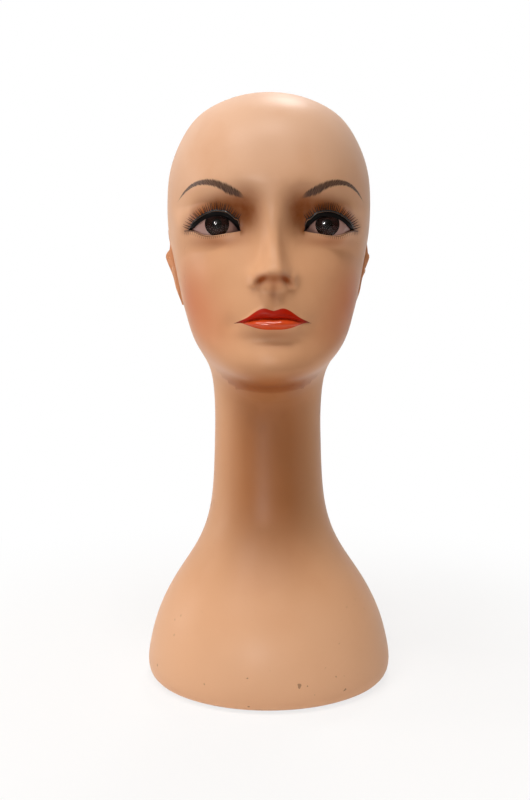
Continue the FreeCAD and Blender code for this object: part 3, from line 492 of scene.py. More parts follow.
print("seam runs to z =", round(float(np.interp(seam_top_mark, fine_marks, fine_rails[:, 6])), 1))

# %% The front skin
EYE_WARP_UP, EYE_WARP_DOWN = 36.0, -18.0
RELIEF_EDGE_Y, RELIEF_FULL_Y = -12, -40
slit_row = form(front_angles(np.array([slit_mark])), np.array([[slit_mark]]))[0]
slit_x = np.abs(slit_row[:, 0])
between_corners = (slit_x > CORNER_IN[0]) & (slit_x < CORNER_OUT[0])
corner_line = np.interp(slit_x, *zip(CORNER_IN, CORNER_OUT))
on_face = soft_step(72, 62, slit_x) * (slit_row[:, 1] < 0)


def front_skin(mark, lid, reach):
    """Rows of the front half.  Near the eye line the rows bend so that they end on a lid's edge,
    less and less with the square of the distance."""
    angle = front_angles(mark)
    plain = form(angle, mark[:, None])
    x, y, z = np.moveaxis(plain, -1, 0)
    edge = np.where(between_corners, lid(slit_x), corner_line)
    near = np.clip((z - slit_row[:, 2]) / reach, 0, 1)
    z = z + (edge - slit_row[:, 2]) * on_face * (1 - near) ** 2
    facing = (np.sin(angle) > 0) & (y < RELIEF_EDGE_Y)
    base = np.where(facing, plain_front(x, z), y)
    weight = np.where(facing, soft_step(RELIEF_EDGE_Y, RELIEF_FULL_Y, y), 0)
    return np.stack([x, base + (skin_front(x, z, base) - base) * weight, z], -1)


below_eyes = front_skin(lower_marks, lower_lid, EYE_WARP_DOWN)
above_eyes = front_skin(upper_marks, upper_lid, EYE_WARP_UP)
crown_angles = front_angles(crown_marks)
crown_cap = form(crown_angles, crown_marks[:, None])
rear_marks = np.concatenate([lower_marks, upper_marks[1:]])
rear_skin = form(rear_angles(rear_marks), rear_marks[:, None])
seam_top = np.array([0.0, SEAM_Y, rear_skin[-1, 0, 2]])
above_eyes[-1, [0, -1]] = crown_cap[0, [0, -1]] = seam_top
rear_skin[-1] = seam_top
print("front grid:", below_eyes.shape[:2], above_eyes.shape[:2], "rear grid:", rear_skin.shape[:2])

# %% [markdown]
# ## Walls, rim and eye sockets
# A moulded shell is 3 mm thick.  Its inside is a coarser grid, moved in along the normals.  A
# zip of triangles joins the two edges, whatever their numbers of points.  At the bottom the wall
# turns in to the opening that the base plate fills.

# %% Inner wall
WALL = 3.0
PLATE_TOP = 10.0
WALL_FOOT = PLATE_TOP + 2
OPENING_HALF = (85.0, 73.5)
INNER_ROW_STEP, INNER_COLUMN_STEP = 6, 5


def inner_points(angle, mark):
    """The plain form moved in by the wall, along the cross product of its two slopes."""
    turn, climb = 1e-3, 1e-2
    around = form(angle + turn, mark) - form(angle - turn, mark)
    up = form(angle, mark) - form(angle, mark - climb)
    inward = np.cross(around, up)
    length = np.linalg.norm(inward, axis=-1, keepdims=True)
    return form(angle, mark) + WALL * inward / np.maximum(length, 1e-12)


def opening_points(angle, z):
    """Points of the elliptical opening in the rim, at the height z."""
    wide, deep = OPENING_HALF
    return np.stack([wide * np.cos(angle), -deep * np.sin(angle), np.full_like(angle, z)], -1)


def opening_angles(columns, rear):
    """Angles round the opening that end where its edge crosses the seam plane."""
    seam = -math.asin(SEAM_Y / OPENING_HALF[1])
    share = np.linspace(0, 1, columns)
    if rear:
        return math.pi - seam + (math.pi + 2 * seam) * share
    return seam + (math.pi - 2 * seam) * share


def push_behind_face(points):
    """Keeps the wall behind the hollows of the face and behind the domes of the eyes."""
    x, y, z = np.moveaxis(points, -1, 0)
    facing = y < -16
    skin = skin_front(x, z, np.where(facing, plain_front(x, z), y))
    y = np.where(facing, soft_max(y, skin + WALL - 0.4, 1.6), y)
    rest = (EYE_RADIUS + 2.2) ** 2 - (np.abs(x) - eye_centre[0]) ** 2 - (z - eye_centre[2]) ** 2
    socket = np.where(rest > 0, eye_centre[1] + np.sqrt(np.clip(rest, 0, None)), -1e3)
    front = y < -10
    y = np.where(front & (rest > 0), soft_max(y, socket, 4.0), y)
    return np.stack([x, y, z], -1)


def inner_wall(angles_at, marks, rear):
    """Rows of the inside, from the bottom of the opening up.  The outermost columns are put on
    the seam plane."""
    kept = marks[rails(marks)[:, 1] > WALL_FOOT]
    wall = inner_points(angles_at(kept), kept[:, None])
    wall[..., 1] = np.maximum(wall[..., 1], SEAM_Y) if rear else np.minimum(wall[..., 1], SEAM_Y)
    wall[:, [0, -1], 1] = SEAM_Y
    wall[-1, slice(None) if rear else [0, -1]] = (0, SEAM_Y, wall[-1, 0, 2])
    foot = wall[0].copy()
    foot[:, 2] = PLATE_TOP
    edge = opening_angles(wall.shape[1], rear)
    rows = [opening_points(edge, RIM_Z), opening_points(edge, PLATE_TOP), foot]
    return np.concatenate([np.stack(rows), wall])


def thin_out(angles):
    """Only some of the columns, evenly picked, with both ends kept."""
    def angles_at(mark):
        full = angles(mark)
        columns = np.r_[0 : full.shape[1] - 1 : INNER_COLUMN_STEP, full.shape[1] - 1]
        return full[:, columns]

    return angles_at


def zip_edges(first, second, first_place, second_place):
    """Triangles between two rows of point numbers.  Both are walked along together, and each
    step makes a triangle with the point that the other walk has reached."""
    first_step = (first_place[1:] + first_place[:-1]) / 2
    second_step = (second_place[1:] + second_place[:-1]) / 2
    reached = second[np.searchsorted(second_step, first_step)]
    passed = first[np.searchsorted(first_step, second_step, side="right")]
    one = np.stack([first[:-1], first[1:], reached], -1)
    two = np.stack([passed, second[1:], second[:-1]], -1)
    return np.concatenate([one, two])


# %% Eye sockets in the skin
RIM_STEPS, SOCKET_STEPS = 6, 7
SOCKET_RADIUS = EYE_RADIUS + 0.15


def lid_edges(side):
    """The points all round one eye's opening, upper lid from one corner to the other and back
    along the lower lid, and for each the place where the lid's edge meets the dome."""
    columns = np.nonzero(between_corners & (slit_row[:, 0] * side > 0))[0]
    columns = np.r_[columns[0] - 1, columns, columns[-1] + 1]
    upper, lower = above_eyes[0, columns], below_eyes[-1, columns[1:-1]][::-1]
    outer = np.concatenate([upper, lower])
    x = np.clip(np.abs(outer[:, 0]), CORNER_IN[0] + 0.4, CORNER_OUT[0] - 0.9)
    count = len(upper)
    z = np.concatenate([lid_shadow(x[:count]), lower_lid(x[count:]) + LOWER_ROLL])
    across, up = x - eye_centre[0], z - eye_centre[2]
    distance = np.sqrt(across**2 + up**2)
    shrink = np.minimum(1, 0.985 * SOCKET_RADIUS / distance)
    y = eye_centre[1] - np.sqrt(SOCKET_RADIUS**2 - (distance * shrink) ** 2)
    inner = np.stack([side * (eye_centre[0] + across * shrink), y, eye_centre[2] + up * shrink], -1)
    return outer, inner


def socket_rows(side):
    """Rows from the lid's edge to the dome and on round behind it.  The first rows roll over a
    quarter turn, the others swing round the eye's centre to the back of the socket."""
    outer, inner = lid_edges(side)
    turn = np.linspace(0, math.pi / 2, RIM_STEPS + 1)[:, None, None]
    roll_in, roll_across = 1 - np.cos(turn), np.sin(turn)
    share = np.concatenate([roll_across, roll_in, roll_across], -1)
    rim = outer + (inner - outer) * share
    centre = eye_centre * [side, 1, 1]
    back = -gaze * [side, 1, 1]
    spoke = (inner - centre) / SOCKET_RADIUS
    angle = np.arccos(np.clip((spoke * back).sum(-1), -1, 1))[None, :, None]
    swing = np.linspace(1, 0, SOCKET_STEPS + 1)[1:, None, None]
    bowl = (np.sin(swing * angle) * spoke + np.sin((1 - swing) * angle) * back) / np.sin(angle)
    return np.concatenate([rim, centre + SOCKET_RADIUS * bowl])


sockets = {side: socket_rows(side) for side in (1, -1)}
print("socket grid:", sockets[1].shape[:2])

# %% [markdown]
# ## Ears
# The ears of such a head are moulded close to it, so that a wig sits flat.  Each is a skin over a
# polar grid: from a middle outwards over the bowl, the inner ridge and the rolled edge, and then
# round the back of the edge into the head.

# %% Ear skin
EAR_MIDDLE = (12.5, 321.0)
EAR_HALF = (13.2, 29.5)
EAR_LEAN = math.tan(math.radians(12))
EAR_ROWS, EAR_BACK_ROWS, EAR_COLUMNS = 34, 7, 96


def plain_side(y, z):
    """How far out the plain form lies at (y, z), from the rails at that height."""
    row = rails(np.interp(z, fine_rails[:, 4], fine_marks))
    front = y < row[..., 3]
    end = np.where(front, row[..., 0], row[..., 5])
    full = np.where(front, row[..., 7], row[..., 8])
    along = np.clip(np.abs((y - row[..., 3]) / (end - row[..., 3])), 0, 0.999) ** (full / 2)
    return row[..., 2] * np.sqrt(1 - along**2) ** (2 / full)


def ear_skin(side):
    """Rows of one ear from its middle outwards.  How far it stands out is the sum of a leaning
    plate, a rolled edge, a groove, an inner ridge, a bowl and the flap in front of it."""
    turn = np.linspace(0, 2 * math.pi, EAR_COLUMNS, endpoint=False)[None, :]
    share = np.linspace(0, 1, EAR_ROWS + 1)[:, None]
    behind, up = (1 + np.cos(turn)) / 2, np.sin(turn)
    edge = 1.6 + 5.4 * behind**0.8 * (1 + 0.1 * up) - 1.2 * soft_step(-0.6, -1, up)
    edge = edge * (1 + 0.3 * soft_step(-0.4, 0.25, up)) * (1 - 0.95 * soft_step(0.26, 0.64, up))
    wide = EAR_HALF[0] * (1 - 0.24 * soft_step(0, -1, up))
    a, b = wide * share * np.cos(turn), EAR_HALF[1] * share * up
    rolled = behind**0.5 * soft_step(-0.95, -0.5, up)
    out = 1.0 + (edge - 1.0) * share**1.1
    out = out + 0.9 * rolled * np.exp(-(((share - 0.92) / 0.07) ** 2))
    out = out - 1.6 * rolled * np.exp(-(((share - 0.79) / 0.07) ** 2))
    out = out + 1.1 * behind * np.exp(-(((share - 0.60) / 0.11) ** 2))
    out = out - 3.4 * np.exp(-(((a + 2) / 5.0) ** 2) - ((b + 2) / 8.0) ** 2)
    out = out + 2.4 * np.exp(-(((a + 9.5) / 2.3) ** 2) - ((b + 4) / 3.6) ** 2)
    back = np.linspace(0, 1, EAR_BACK_ROWS + 1)[1:, None]
    shrink = 1 + 0.03 * np.sin(math.pi * back) - 0.16 * back**2
    a = np.concatenate([a, a[-1:] * shrink])
    b = np.concatenate([b, b[-1:] * shrink])
    out = np.concatenate([out, out[-1:] - (out[-1:] + 2.5) * back])
    y = EAR_MIDDLE[0] + a + b * EAR_LEAN
    z = EAR_MIDDLE[1] + b
    x = plain_side(y, z) + out
    core = np.stack([x[-1:] - 6.0, y[:1], z[:1]], -1)
    core = np.broadcast_to(core.mean(1, keepdims=True), core.shape)
    skin = np.concatenate([np.stack([x, y, z], -1), core])
    return skin * [side, 1, 1]


ears = {side: ear_skin(side) for side in (1, -1)}
print("left ear reaches x =", round(float(ears[1][..., 0].max()), 1))


# %% [markdown]
# ## Paint laid over the skin
# The make-up on such a head is airbrushed and brushed on.  Where each colour lies is worked out
# once for every point, as smooth values that the paint's nodes read: a soft share from 0 to 1 for
# what is airbrushed, and distances in millimetres for what has a sharp edge.  Painted shade under
# the nose, lip and chin is laid on in the same way.

# %% Painted fields
BROW_IN, BROW_OUT = 19.5, 66.8
brow_top = through(
    (BROW_IN, 365.8), (22.0, 369.0), (25.0, 371.0), (30.0, 374.0), (35.0, 376.2), (42.5, 378.2),
    (50.0, 378.2), (56.5, 376.0), (62.5, 371.2), (BROW_OUT, 366.0),
)
brow_bottom = through(
    (BROW_IN, 364.6), (22.5, 365.2), (27.5, 366.4), (32.0, 368.2), (35.2, 370.4), (41.5, 373.2),
    (47.8, 374.5), (54.5, 373.8), (61.5, 370.2), (BROW_OUT, 365.6),
)
PAINT_EDGE_Y, PAINT_FULL_Y = -14, -40
FAR_AWAY = -20.0
PAINT_DEFAULTS = {
    "shadow": 0.0, "blush": 0.0, "shade": 0.0, "under_eye": 0.0, "liner": 0.0,
    "brow_across": FAR_AWAY, "brow_along": 0.0, "lip": FAR_AWAY, "lip_above": 0.0,
    "lash_gap": FAR_AWAY,
}


def paint_fields(points):
    """The painted values at points of the face.

    shadow: eye shadow, a hill beside the nose, one under the brow and a band above the upper lid
        that fades upwards
    blush: two soft hills on each cheek
    shade: brown paint in the nostrils, and painted shade under the nose, in its groove, under lip
    and chin
    brow_across: -1 at a brow's lower edge and 1 at its upper edge; brow_along: 0 to 1 outwards
    lip: distance inside the lips' outline; lip_above: height above the line between them
    lash_gap: distance below the lower lid's edge
    """
    x, y, z = points.T
    side = np.abs(x)
    front = y < PAINT_EDGE_Y
    above = z - upper_lid(side)
    reach_up = 9.2 + 2.2 * soft_step(40, 56, side)
    fade = np.where(
        above > 0,
        np.exp(-((np.clip(above, 0, None) / reach_up) ** 2.4)),
        np.exp(-((above / 2.6) ** 2)),
    )
    band = fade * soft_step(17, 24, side) * soft_step(67, 55, side)
    inner = hill(x, z, (18.5, 356), (7.2, 10.4), 2.2)
    under_brow = 0.7 * hill(x, z, (27.5, 361), (9.5, 5.5), 2.2)
    top, bottom = brow_top(side), brow_bottom(side)
    across = (z - (top + bottom) / 2) / np.maximum((top - bottom) / 2, 0.3)
    inside = np.minimum(upper_lip_top(side) - z, z - lower_lip_bottom(side))
    cheeks = 0.66 * hill(x, z, (60, 297), (13, 18)) + 0.3 * hill(x, z, (44, 274), (13, 15))
    # Brown in the nostrils, and painted shade under the nose, in the groove below it, under the lip
    # and under the chin.
    shade = (
        0.9 * hill(side + 0.55 * (z - 307.5), z, (9.8, 309.4), (2.4, 2.5))
        + 0.7 * hill(x, z, (0, 311.0), (9, 2.2), 2.4)
        + 0.5 * hill(x, z, (0, 302), (1.8, 6.0))
        + 0.42 * hill(x, z, (0, 272.6), (14, 2.4))
        + 0.75 * hill(x, z, (0, 233), (34, 6))
    )
    fields = {
        "shadow": 1 - (1 - band) * (1 - inner) * (1 - under_brow),
        "blush": soft_step(PAINT_EDGE_Y, PAINT_FULL_Y, y) * cheeks,
        "shade": shade,
        "under_eye": hill(x, z, (39, 336.2), (12, 2.6)),
        "liner": np.zeros(len(points)),
        "brow_across": across,
        "brow_along": (side - BROW_IN) / (BROW_OUT - BROW_IN),
        "lip": np.minimum(inside, (LIP_END - side) * 0.6),
        "lip_above": z - mouth_line(side),
        "lash_gap": np.where(
            (side > CORNER_IN[0]) & (side < 62), lower_lid(side) - z, FAR_AWAY
        ),
    }
    return {
        name: np.where(front, values, PAINT_DEFAULTS[name]) for name, values in fields.items()
    }


# %% [markdown]
# ## Assemble the shells
# Every patch is appended to one list of points, and its faces keep the numbers they had in it.
# A patch that is seen from its other side has its faces turned round.

# %% Shell builder
class Patches:
    """Points and faces of one piece, gathered patch by patch."""

    def __init__(self):
        self.points, self.faces, self.fields, self.count = [], [], [], 0

    def add(self, grid, closed=False, flip=False, fields=None):
        """Adds a grid and its quads, and returns the numbers of its points."""
        index = self.count + numbers(grid.shape[:2])
        self.points.append(grid.reshape(-1, 3))
        self.fields.append(fields or {})
        self.count += index.size
        self.join(ring_faces(index) if closed else grid_faces(index), flip)
        return index

    def join(self, faces, flip=False):
        """Adds faces between points that are already there."""
        self.faces.append(faces[:, ::-1] if flip else faces)

    def all_fields(self):
        """One array for each painted field, with its default where a patch has none."""
        return {
            name: np.concatenate([
                np.broadcast_to(fields.get(name, default), (len(points),))
                for points, fields in zip(self.points, self.fields)
            ])
            for name, default in PAINT_DEFAULTS.items()
        }


def close_edges(patches, outside, inside, marks, inner_marks, flip):
    """Zips the outer and inner boundary: up one seam, down the other, and along the rim.  Each
    boundary is walked as one row of numbers with its place from 0 to 3."""
    def walk(index, mark):
        share = (mark - mark[0]) / (mark[-1] - mark[0])
        numbers = np.concatenate([index[:, 0], index[::-1, -1], index[0, ::-1]])
        along = np.linspace(0, 1, index.shape[1])
        return numbers, np.concatenate([share, 2 - share[::-1], 2 + along])

    outer, outer_place = walk(outside, marks)
    inner, inner_place = walk(inside, inner_marks)
    patches.join(zip_edges(outer, inner, outer_place, inner_place), flip)


# %% The front half
def with_ends(values, step):
    """Every step-th value and always the last."""
    return np.r_[values[:-1:step], values[-1]]


def stretch_marks(kept):
    """Marks for the three rows at the foot of the wall, below the first full row."""
    return np.concatenate([rim_mark + (kept[0] - rim_mark) * np.arange(3) / 3, kept])


front = Patches()
below_index = front.add(below_eyes, flip=True, fields=paint_fields(below_eyes.reshape(-1, 3)))
above_index = front.add(above_eyes, flip=True, fields=paint_fields(above_eyes.reshape(-1, 3)))
front.add(crown_cap, flip=True)
for side, rows in sockets.items():
    liner = np.zeros(rows.shape[:2])
    upper_count = (rows.shape[1] + 2) // 2
    liner[: RIM_STEPS + 3, :upper_count] = 1.0
    # On the lower lid only the edge next to the dome is dark: partly liner, partly painted shade
    # where lid meets dome.
    liner[RIM_STEPS - 1 : RIM_STEPS + 3, upper_count:] = 1.0
    front.add(rows, closed=True, fields={"liner": liner.reshape(-1)})
for side, rows in ears.items():
    inner_part = np.arange(len(rows)) < 0.84 * EAR_ROWS
    # Blush on the ears, deeper inside the rolled edge: partly the ears' own blush, partly painted
    # shade on their front.
    ear_blush_and_shade = np.repeat(np.where(inner_part, 0.35, 0.25), EAR_COLUMNS)
    front.add(rows, closed=True, flip=side > 0, fields={"blush": ear_blush_and_shade})

inner_marks = with_ends(np.concatenate([lower_marks, upper_marks[1:]]), INNER_ROW_STEP)
front_inside = push_behind_face(inner_wall(thin_out(front_angles), inner_marks, rear=False))
inner_index = front.add(front_inside)
crown_inside = inner_points(thin_out(front_angles)(crown_marks[::2]), crown_marks[::2, None])
crown_inside[0] = front_inside[-1]
crown_inside[-1] = (0, CROWN[0], CROWN[1] - WALL)
front.add(crown_inside)
outer_index = np.concatenate([below_index, above_index[1:]])
outer_marks = np.concatenate([lower_marks, upper_marks[1:]])
kept_marks = inner_marks[rails(inner_marks)[:, 1] > WALL_FOOT]
close_edges(front, outer_index, inner_index, outer_marks, stretch_marks(kept_marks), flip=True)
front_piece = put_mesh(
    "front_half_shell", np.concatenate(front.points), front.faces, front.all_fields()
)
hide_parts("front_shell")

# %% The rear half
rear = Patches()
rear_index = rear.add(rear_skin, flip=True)
rear_inside = inner_wall(thin_out(rear_angles), inner_marks, rear=True)
rear_inner_index = rear.add(rear_inside)
close_edges(rear, rear_index, rear_inner_index, outer_marks, stretch_marks(kept_marks), flip=True)
rear_piece = put_mesh(
    "rear_half_shell", np.concatenate(rear.points), rear.faces, rear.all_fields()
)
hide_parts("rear_shell")

# %% [markdown]
# ## Domed eyes
# Such eyes are a white dome with a round seat in its front, a painted disc in the seat and a
# clear cap over it.  All three are turned shapes, so a profile is swept round the eye's axis.

# %% Turned pieces round the eyes
EYE_COLUMNS = 72
SEAT_DEPTH, SEAT_RADIUS, DOME_EDGE, DOME_WALL = 16.2, 8.5, 18.0, 4.0
DISC_THICKNESS, CAP_BULGE = 0.6, 0.7


def arc(radius, first, last, count):
    """Points (distance from the axis, depth) of a circle round the eye's centre, between two
    distances from the axis."""
    turn = np.linspace(math.asin(first / radius), math.asin(last / radius), count)
    return np.stack([radius * np.sin(turn), radius * np.cos(turn)], -1)


def line(*corners):
    """Points of a profile's straight part."""
    return np.array(corners, float)


def turned(name, profile, side, fields=False):
    """Sweeps a profile (distance from the axis, depth along the gaze) round one eye's axis."""
    turn = np.linspace(0, 2 * math.pi, EYE_COLUMNS, endpoint=False)[None, :, None]
    ahead = gaze * [side, 1, 1]
    across = np.array([-ahead[1], ahead[0], 0.0])
    spoke = np.cos(turn) * across + np.sin(turn) * np.array([0, 0, 1.0])
    centre = eye_centre * [side, 1, 1]
    grid = centre + profile[:, None, :1] * spoke + profile[:, None, 1:] * ahead
    faces = ring_faces(numbers(grid.shape[:2]))
    values = {}
    if fields:
        values = {
            "from_axis": profile[:, :1], "turn_cos": np.cos(turn[..., 0]),
            "turn_sin": np.sin(turn[..., 0]),
        }
    values = {
        field: np.broadcast_to(part, grid.shape[:2]).reshape(-1) for field, part in values.items()
    }
    return put_mesh(name, grid.reshape(-1, 3), [faces[:, ::-1]], values, sharp=40)


cap_rise = EYE_RADIUS + CAP_BULGE - math.sqrt(EYE_RADIUS**2 - IRIS_RADIUS**2)
cap_radius = (IRIS_RADIUS**2 + cap_rise**2) / (2 * cap_rise)
disc_front = SEAT_DEPTH + DISC_THICKNESS
dome_profile = np.concatenate([
    line((0, SEAT_DEPTH), (SEAT_RADIUS, SEAT_DEPTH)),
    arc(EYE_RADIUS, SEAT_RADIUS, DOME_EDGE, 28),
    arc(EYE_RADIUS - DOME_WALL, EYE_RADIUS - DOME_WALL - 0.4, 0, 16),
])
disc_profile = line(
    (0, disc_front + 0.10), (2.9, disc_front + 0.10), (3.1, disc_front + 0.16),
    (5.6, disc_front + 0.14), (8.1, disc_front + 0.12), (IRIS_RADIUS, disc_front - 0.1),
    (IRIS_RADIUS, SEAT_DEPTH), (0, SEAT_DEPTH),
)
cap_profile = arc(cap_radius, 0, IRIS_RADIUS, 18)
cap_profile[:, 1] += EYE_RADIUS + CAP_BULGE - cap_radius
cap_profile = np.concatenate([cap_profile, line((IRIS_RADIUS, disc_front), (0, disc_front))])
eyes = {}
for side, word in SIDES:
    dome = turned(f"{word}_eye_dome", dome_profile, side, fields=True)
    disc = turned(f"{word}_iris_disc", disc_profile, side, fields=True)
    cap = turned(f"{word}_clear_cap", cap_profile, side)
    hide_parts(f"{word}_eye_white")
    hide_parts(f"{word}_iris")
    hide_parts(f"{word}_cornea")
    eyes[word] = (dome, disc, cap)

# %% [markdown]
# ## Lash strips
# A lash strip is a thin band glued along the upper lid's edge, with a row of tapered hairs
# knotted to it.  The band is an oval carried along the lid.  All hairs are worked out together:
# one array holds every point of every hair.

# %% Band and hairs
BAND_HALF = (0.55, 0.5)
BAND_STEPS, BAND_SIDES = 90, 10
HAIR_FIRST_X, HAIR_SPAN = 24.0, 34.0
HAIR_COUNT, HAIR_STEPS, HAIR_SIDES = 31, 7, 5
lash_random = np.random.default_rng(7)


def lid_points(side_x):
    """Points on the upper lid's edge, and which way is up the lid there."""
    z = upper_lid(side_x)
    y = skin_front(side_x, z, plain_front(side_x, z))
    return np.stack([side_x, y, z], -1)


def lash_band(side):
    """An oval section along the lid's edge: its long axis lies on the lid, its ends taper."""
    share = np.linspace(0, 1, BAND_STEPS)
    path = lid_points(CORNER_IN[0] + 0.5 + (CORNER_OUT[0] - CORNER_IN[0] - 0.8) * share)
    tangent = np.gradient(path, axis=0)
    tangent /= np.linalg.norm(tangent, axis=1, keepdims=True)
    outward = path - eye_centre
    outward -= (outward * tangent).sum(1, keepdims=True) * tangent
    outward /= np.linalg.norm(outward, axis=1, keepdims=True)
    over = np.cross(tangent, outward)
    taper = (0.35 + 0.65 * np.minimum(1, np.minimum(share, 1 - share) / 0.1))[:, None, None]
    turn = np.linspace(0, 2 * math.pi, BAND_SIDES, endpoint=False)[None, :, None]
    over, outward = over[:, None], outward[:, None]
    section = BAND_HALF[0] * np.cos(turn) * over + BAND_HALF[1] * np.sin(turn) * outward
    grid = path[:, None] + 0.25 * outward + taper * section
    ends = [np.broadcast_to(row.mean(0), row.shape)[None] for row in (grid[0], grid[-1])]
    return np.concatenate([ends[0], grid, ends[1]]) * [side, 1, 1]


def lash_hairs(side):
    """Grids (hair, step, round it) of tapered hairs.  A hair leaves the band forwards and bends
    up: its line is root + length * (share * first way + share squared * later way)."""
    share = np.linspace(0, 1, HAIR_COUNT)
    jitter = lash_random.uniform(-1, 1, (3, HAIR_COUNT))
    root = lid_points(HAIR_FIRST_X + HAIR_SPAN * share**0.92 + 0.25 * jitter[0])
    length = 3.4 + 1.4 * np.sin(math.pi * np.clip(share * 0.85 + 0.12, 0, 1)) + 0.35 * jitter[1]
    lean = -0.45 + 1.5 * share**1.4 + 0.08 * jitter[2]
    sideways, upwards = np.sin(lean), np.cos(lean)
    outward = root - eye_centre
    outward /= np.linalg.norm(outward, axis=1, keepdims=True)
    first = 0.55 * outward + np.stack([0.4 * sideways, 0 * lean, 0.4 * upwards], -1)
    later = np.stack([0.55 * sideways, -0.05 + 0 * lean, 0.55 * upwards], -1)
    step = np.linspace(0, 1, HAIR_STEPS + 1)[None, :, None]
    bent = step * first[:, None] + step**2 * later[:, None]
    path = root[:, None] + length[:, None, None] * bent
    tangent = np.gradient(path, axis=1)
    tangent /= np.linalg.norm(tangent, axis=2, keepdims=True)
    one = np.cross(tangent, [0.3, 1.0, 0.2])
    one /= np.linalg.norm(one, axis=2, keepdims=True)
    two = np.cross(tangent, one)
    turn = np.linspace(0, 2 * math.pi, HAIR_SIDES, endpoint=False)
    thick = 0.36 * (1 - step) ** 0.6 + 0.04
    section = np.cos(turn)[:, None] * one[:, :, None] + np.sin(turn)[:, None] * two[:, :, None]
    grid = path[:, :, None] + thick[..., None] * section
    start = np.broadcast_to(path[:, :1, None], grid[:, :1].shape)
    tip = np.broadcast_to(path[:, -1:, None], grid[:, :1].shape)
    return np.concatenate([start, grid, tip], 1) * [side, 1, 1]


lash_pieces = {}
for side, word in SIDES:
    strip = lash_band(side)
    faces = ring_faces(numbers(strip.shape[:2]))
    band = put_mesh(f"{word}_lash_strip", strip.reshape(-1, 3), [faces[:, ::-side]])
    hairs = lash_hairs(side)
    faces = ring_faces(numbers(hairs.shape[:3]))
    fringe = put_mesh(f"{word}_lash_hairs", hairs.reshape(-1, 3), [faces[:, ::side]])
    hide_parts(f"{word}_lash_band")
    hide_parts(f"{word}_lashes")
    lash_pieces[word] = (band, fringe)

# %% [markdown]
# ## Finishes
# Every finish is a small tree of nodes that ends in one Principled shader.  `Finish` keeps that
# short: most calls add a node and hand back its output, ready for the next one.  A value that is
# the same all over is set on the shader's own socket.

# %% Node helpers
def paint(red, green, blue):
    """A colour written as on a screen, from 0 to 255, turned to the linear values nodes use."""
    values = np.array([red, green, blue]) / 255
    linear = np.where(values <= 0.04045, values / 12.92, ((values + 0.055) / 1.055) ** 2.4)
    return (*[float(value) for value in linear], 1.0)


def add_node(tree, kind, inputs, output=0, **settings):
    """Adds a node to a tree, sets or links its inputs, and returns one of its outputs."""
    node = tree.nodes.new(kind)
    for setting, value in settings.items():
        setattr(node, setting, value)
    for socket, value in inputs.items():
        if isinstance(value, bpy.types.NodeSocket):
            tree.links.new(value, node.inputs[socket])
        else:
            node.inputs[socket].default_value = value
    return node.outputs[output]


class Finish:
    """A material while it is being made."""

    def __init__(self, name, **constants):
        self.material = bpy.data.materials.new(name)
        self.material.use_nodes = True
        self.tree = self.material.node_tree
        self.shader = self.tree.nodes["Principled BSDF"]
        self.place = self.node("ShaderNodeTexCoord", {}, output="Object")
        for socket, value in constants.items():
            self.shader.inputs[socket.replace("_", " ")].default_value = value

    def node(self, kind, inputs, output=0, **settings):
        """Adds a node to this material."""
        return add_node(self.tree, kind, inputs, output, **settings)

    def math(self, operation, first, second=0.0, clamp=False):
        """One step of arithmetic."""
        return self.node(
            "ShaderNodeMath", {0: first, 1: second}, operation=operation, use_clamp=clamp
        )

    def product(self, first, *others):
        """All the values multiplied, one after the other."""
        for other in others:
            first = self.math("MULTIPLY", first, other)
        return first

    def scaled(self, value, share, base):
        """The value times a share, plus a base."""
        inputs = {0: value, 1: share, 2: base}
        return self.node("ShaderNodeMath", inputs, operation="MULTIPLY_ADD")

    def ramp(self, value, low, high):
        """0 at low and 1 at high, with a smooth S between.  Low may be the larger."""
        inputs = {"Value": value, "From Min": low, "From Max": high}
        return self.node("ShaderNodeMapRange", inputs, interpolation_type="SMOOTHSTEP")

    def mix(self, share, first, second):
        """A colour between two.  The node's sockets 6 and 7 are its two colours."""
        inputs = {0: share, 6: first, 7: second}
        return self.node("ShaderNodeMix", inputs, output=2, data_type="RGBA")

    def blend(self, share, first, second):
        """A number between two.  The node's sockets 2 and 3 are its two numbers."""
        return self.node("ShaderNodeMix", {0: share, 2: first, 3: second})

    def field(self, name):
        """A painted value of the mesh."""
        return self.node("ShaderNodeAttribute", {}, output="Fac", attribute_name=name)

    def noise(self, scale, detail=3.0, where=None, stretch=None, distortion=0.0):
        """Cloudy noise from 0 to 1, stretched along the axes where that is asked for."""
        where = where or self.place
        if stretch:
            where = self.node("ShaderNodeMapping", {"Vector": where, "Scale": stretch})
        inputs = {"Vector": where, "Scale": scale, "Detail": detail, "Distortion": distortion}
        return self.node("ShaderNodeTexNoise", inputs)

    def put(self, **sockets):
        """Links outputs to the shader's sockets."""
        for socket, value in sockets.items():
            self.tree.links.new(value, self.shader.inputs[socket.replace("_", " ")])

    def bump(self, height, strength, distance):
        """Fine relief from a height, a share of the distance in metres."""
        inputs = {"Height": height, "Strength": strength, "Distance": distance}
        self.put(Normal=self.node("ShaderNodeBump", inputs))


def coat(piece, finish):
    """Gives a piece its finish."""
    piece.data.materials.clear()
    piece.data.materials.append(finish.material)


# %% [markdown]
# ## The painted skin
# The shells are sprayed with a satin flesh paint, and the make-up goes over it: soft airbrushed
# cheeks and eye shadow, brows drawn hair by hair, fine strokes under the eyes and glossy lips.
# Painted light and shade lie on it as well: a paler crown and bust, a throat shadow, shade under
# the nose, lip and chin, and lit and shaded lips.  One material holds them all, because they lie on
# one skin, and the fields say where.

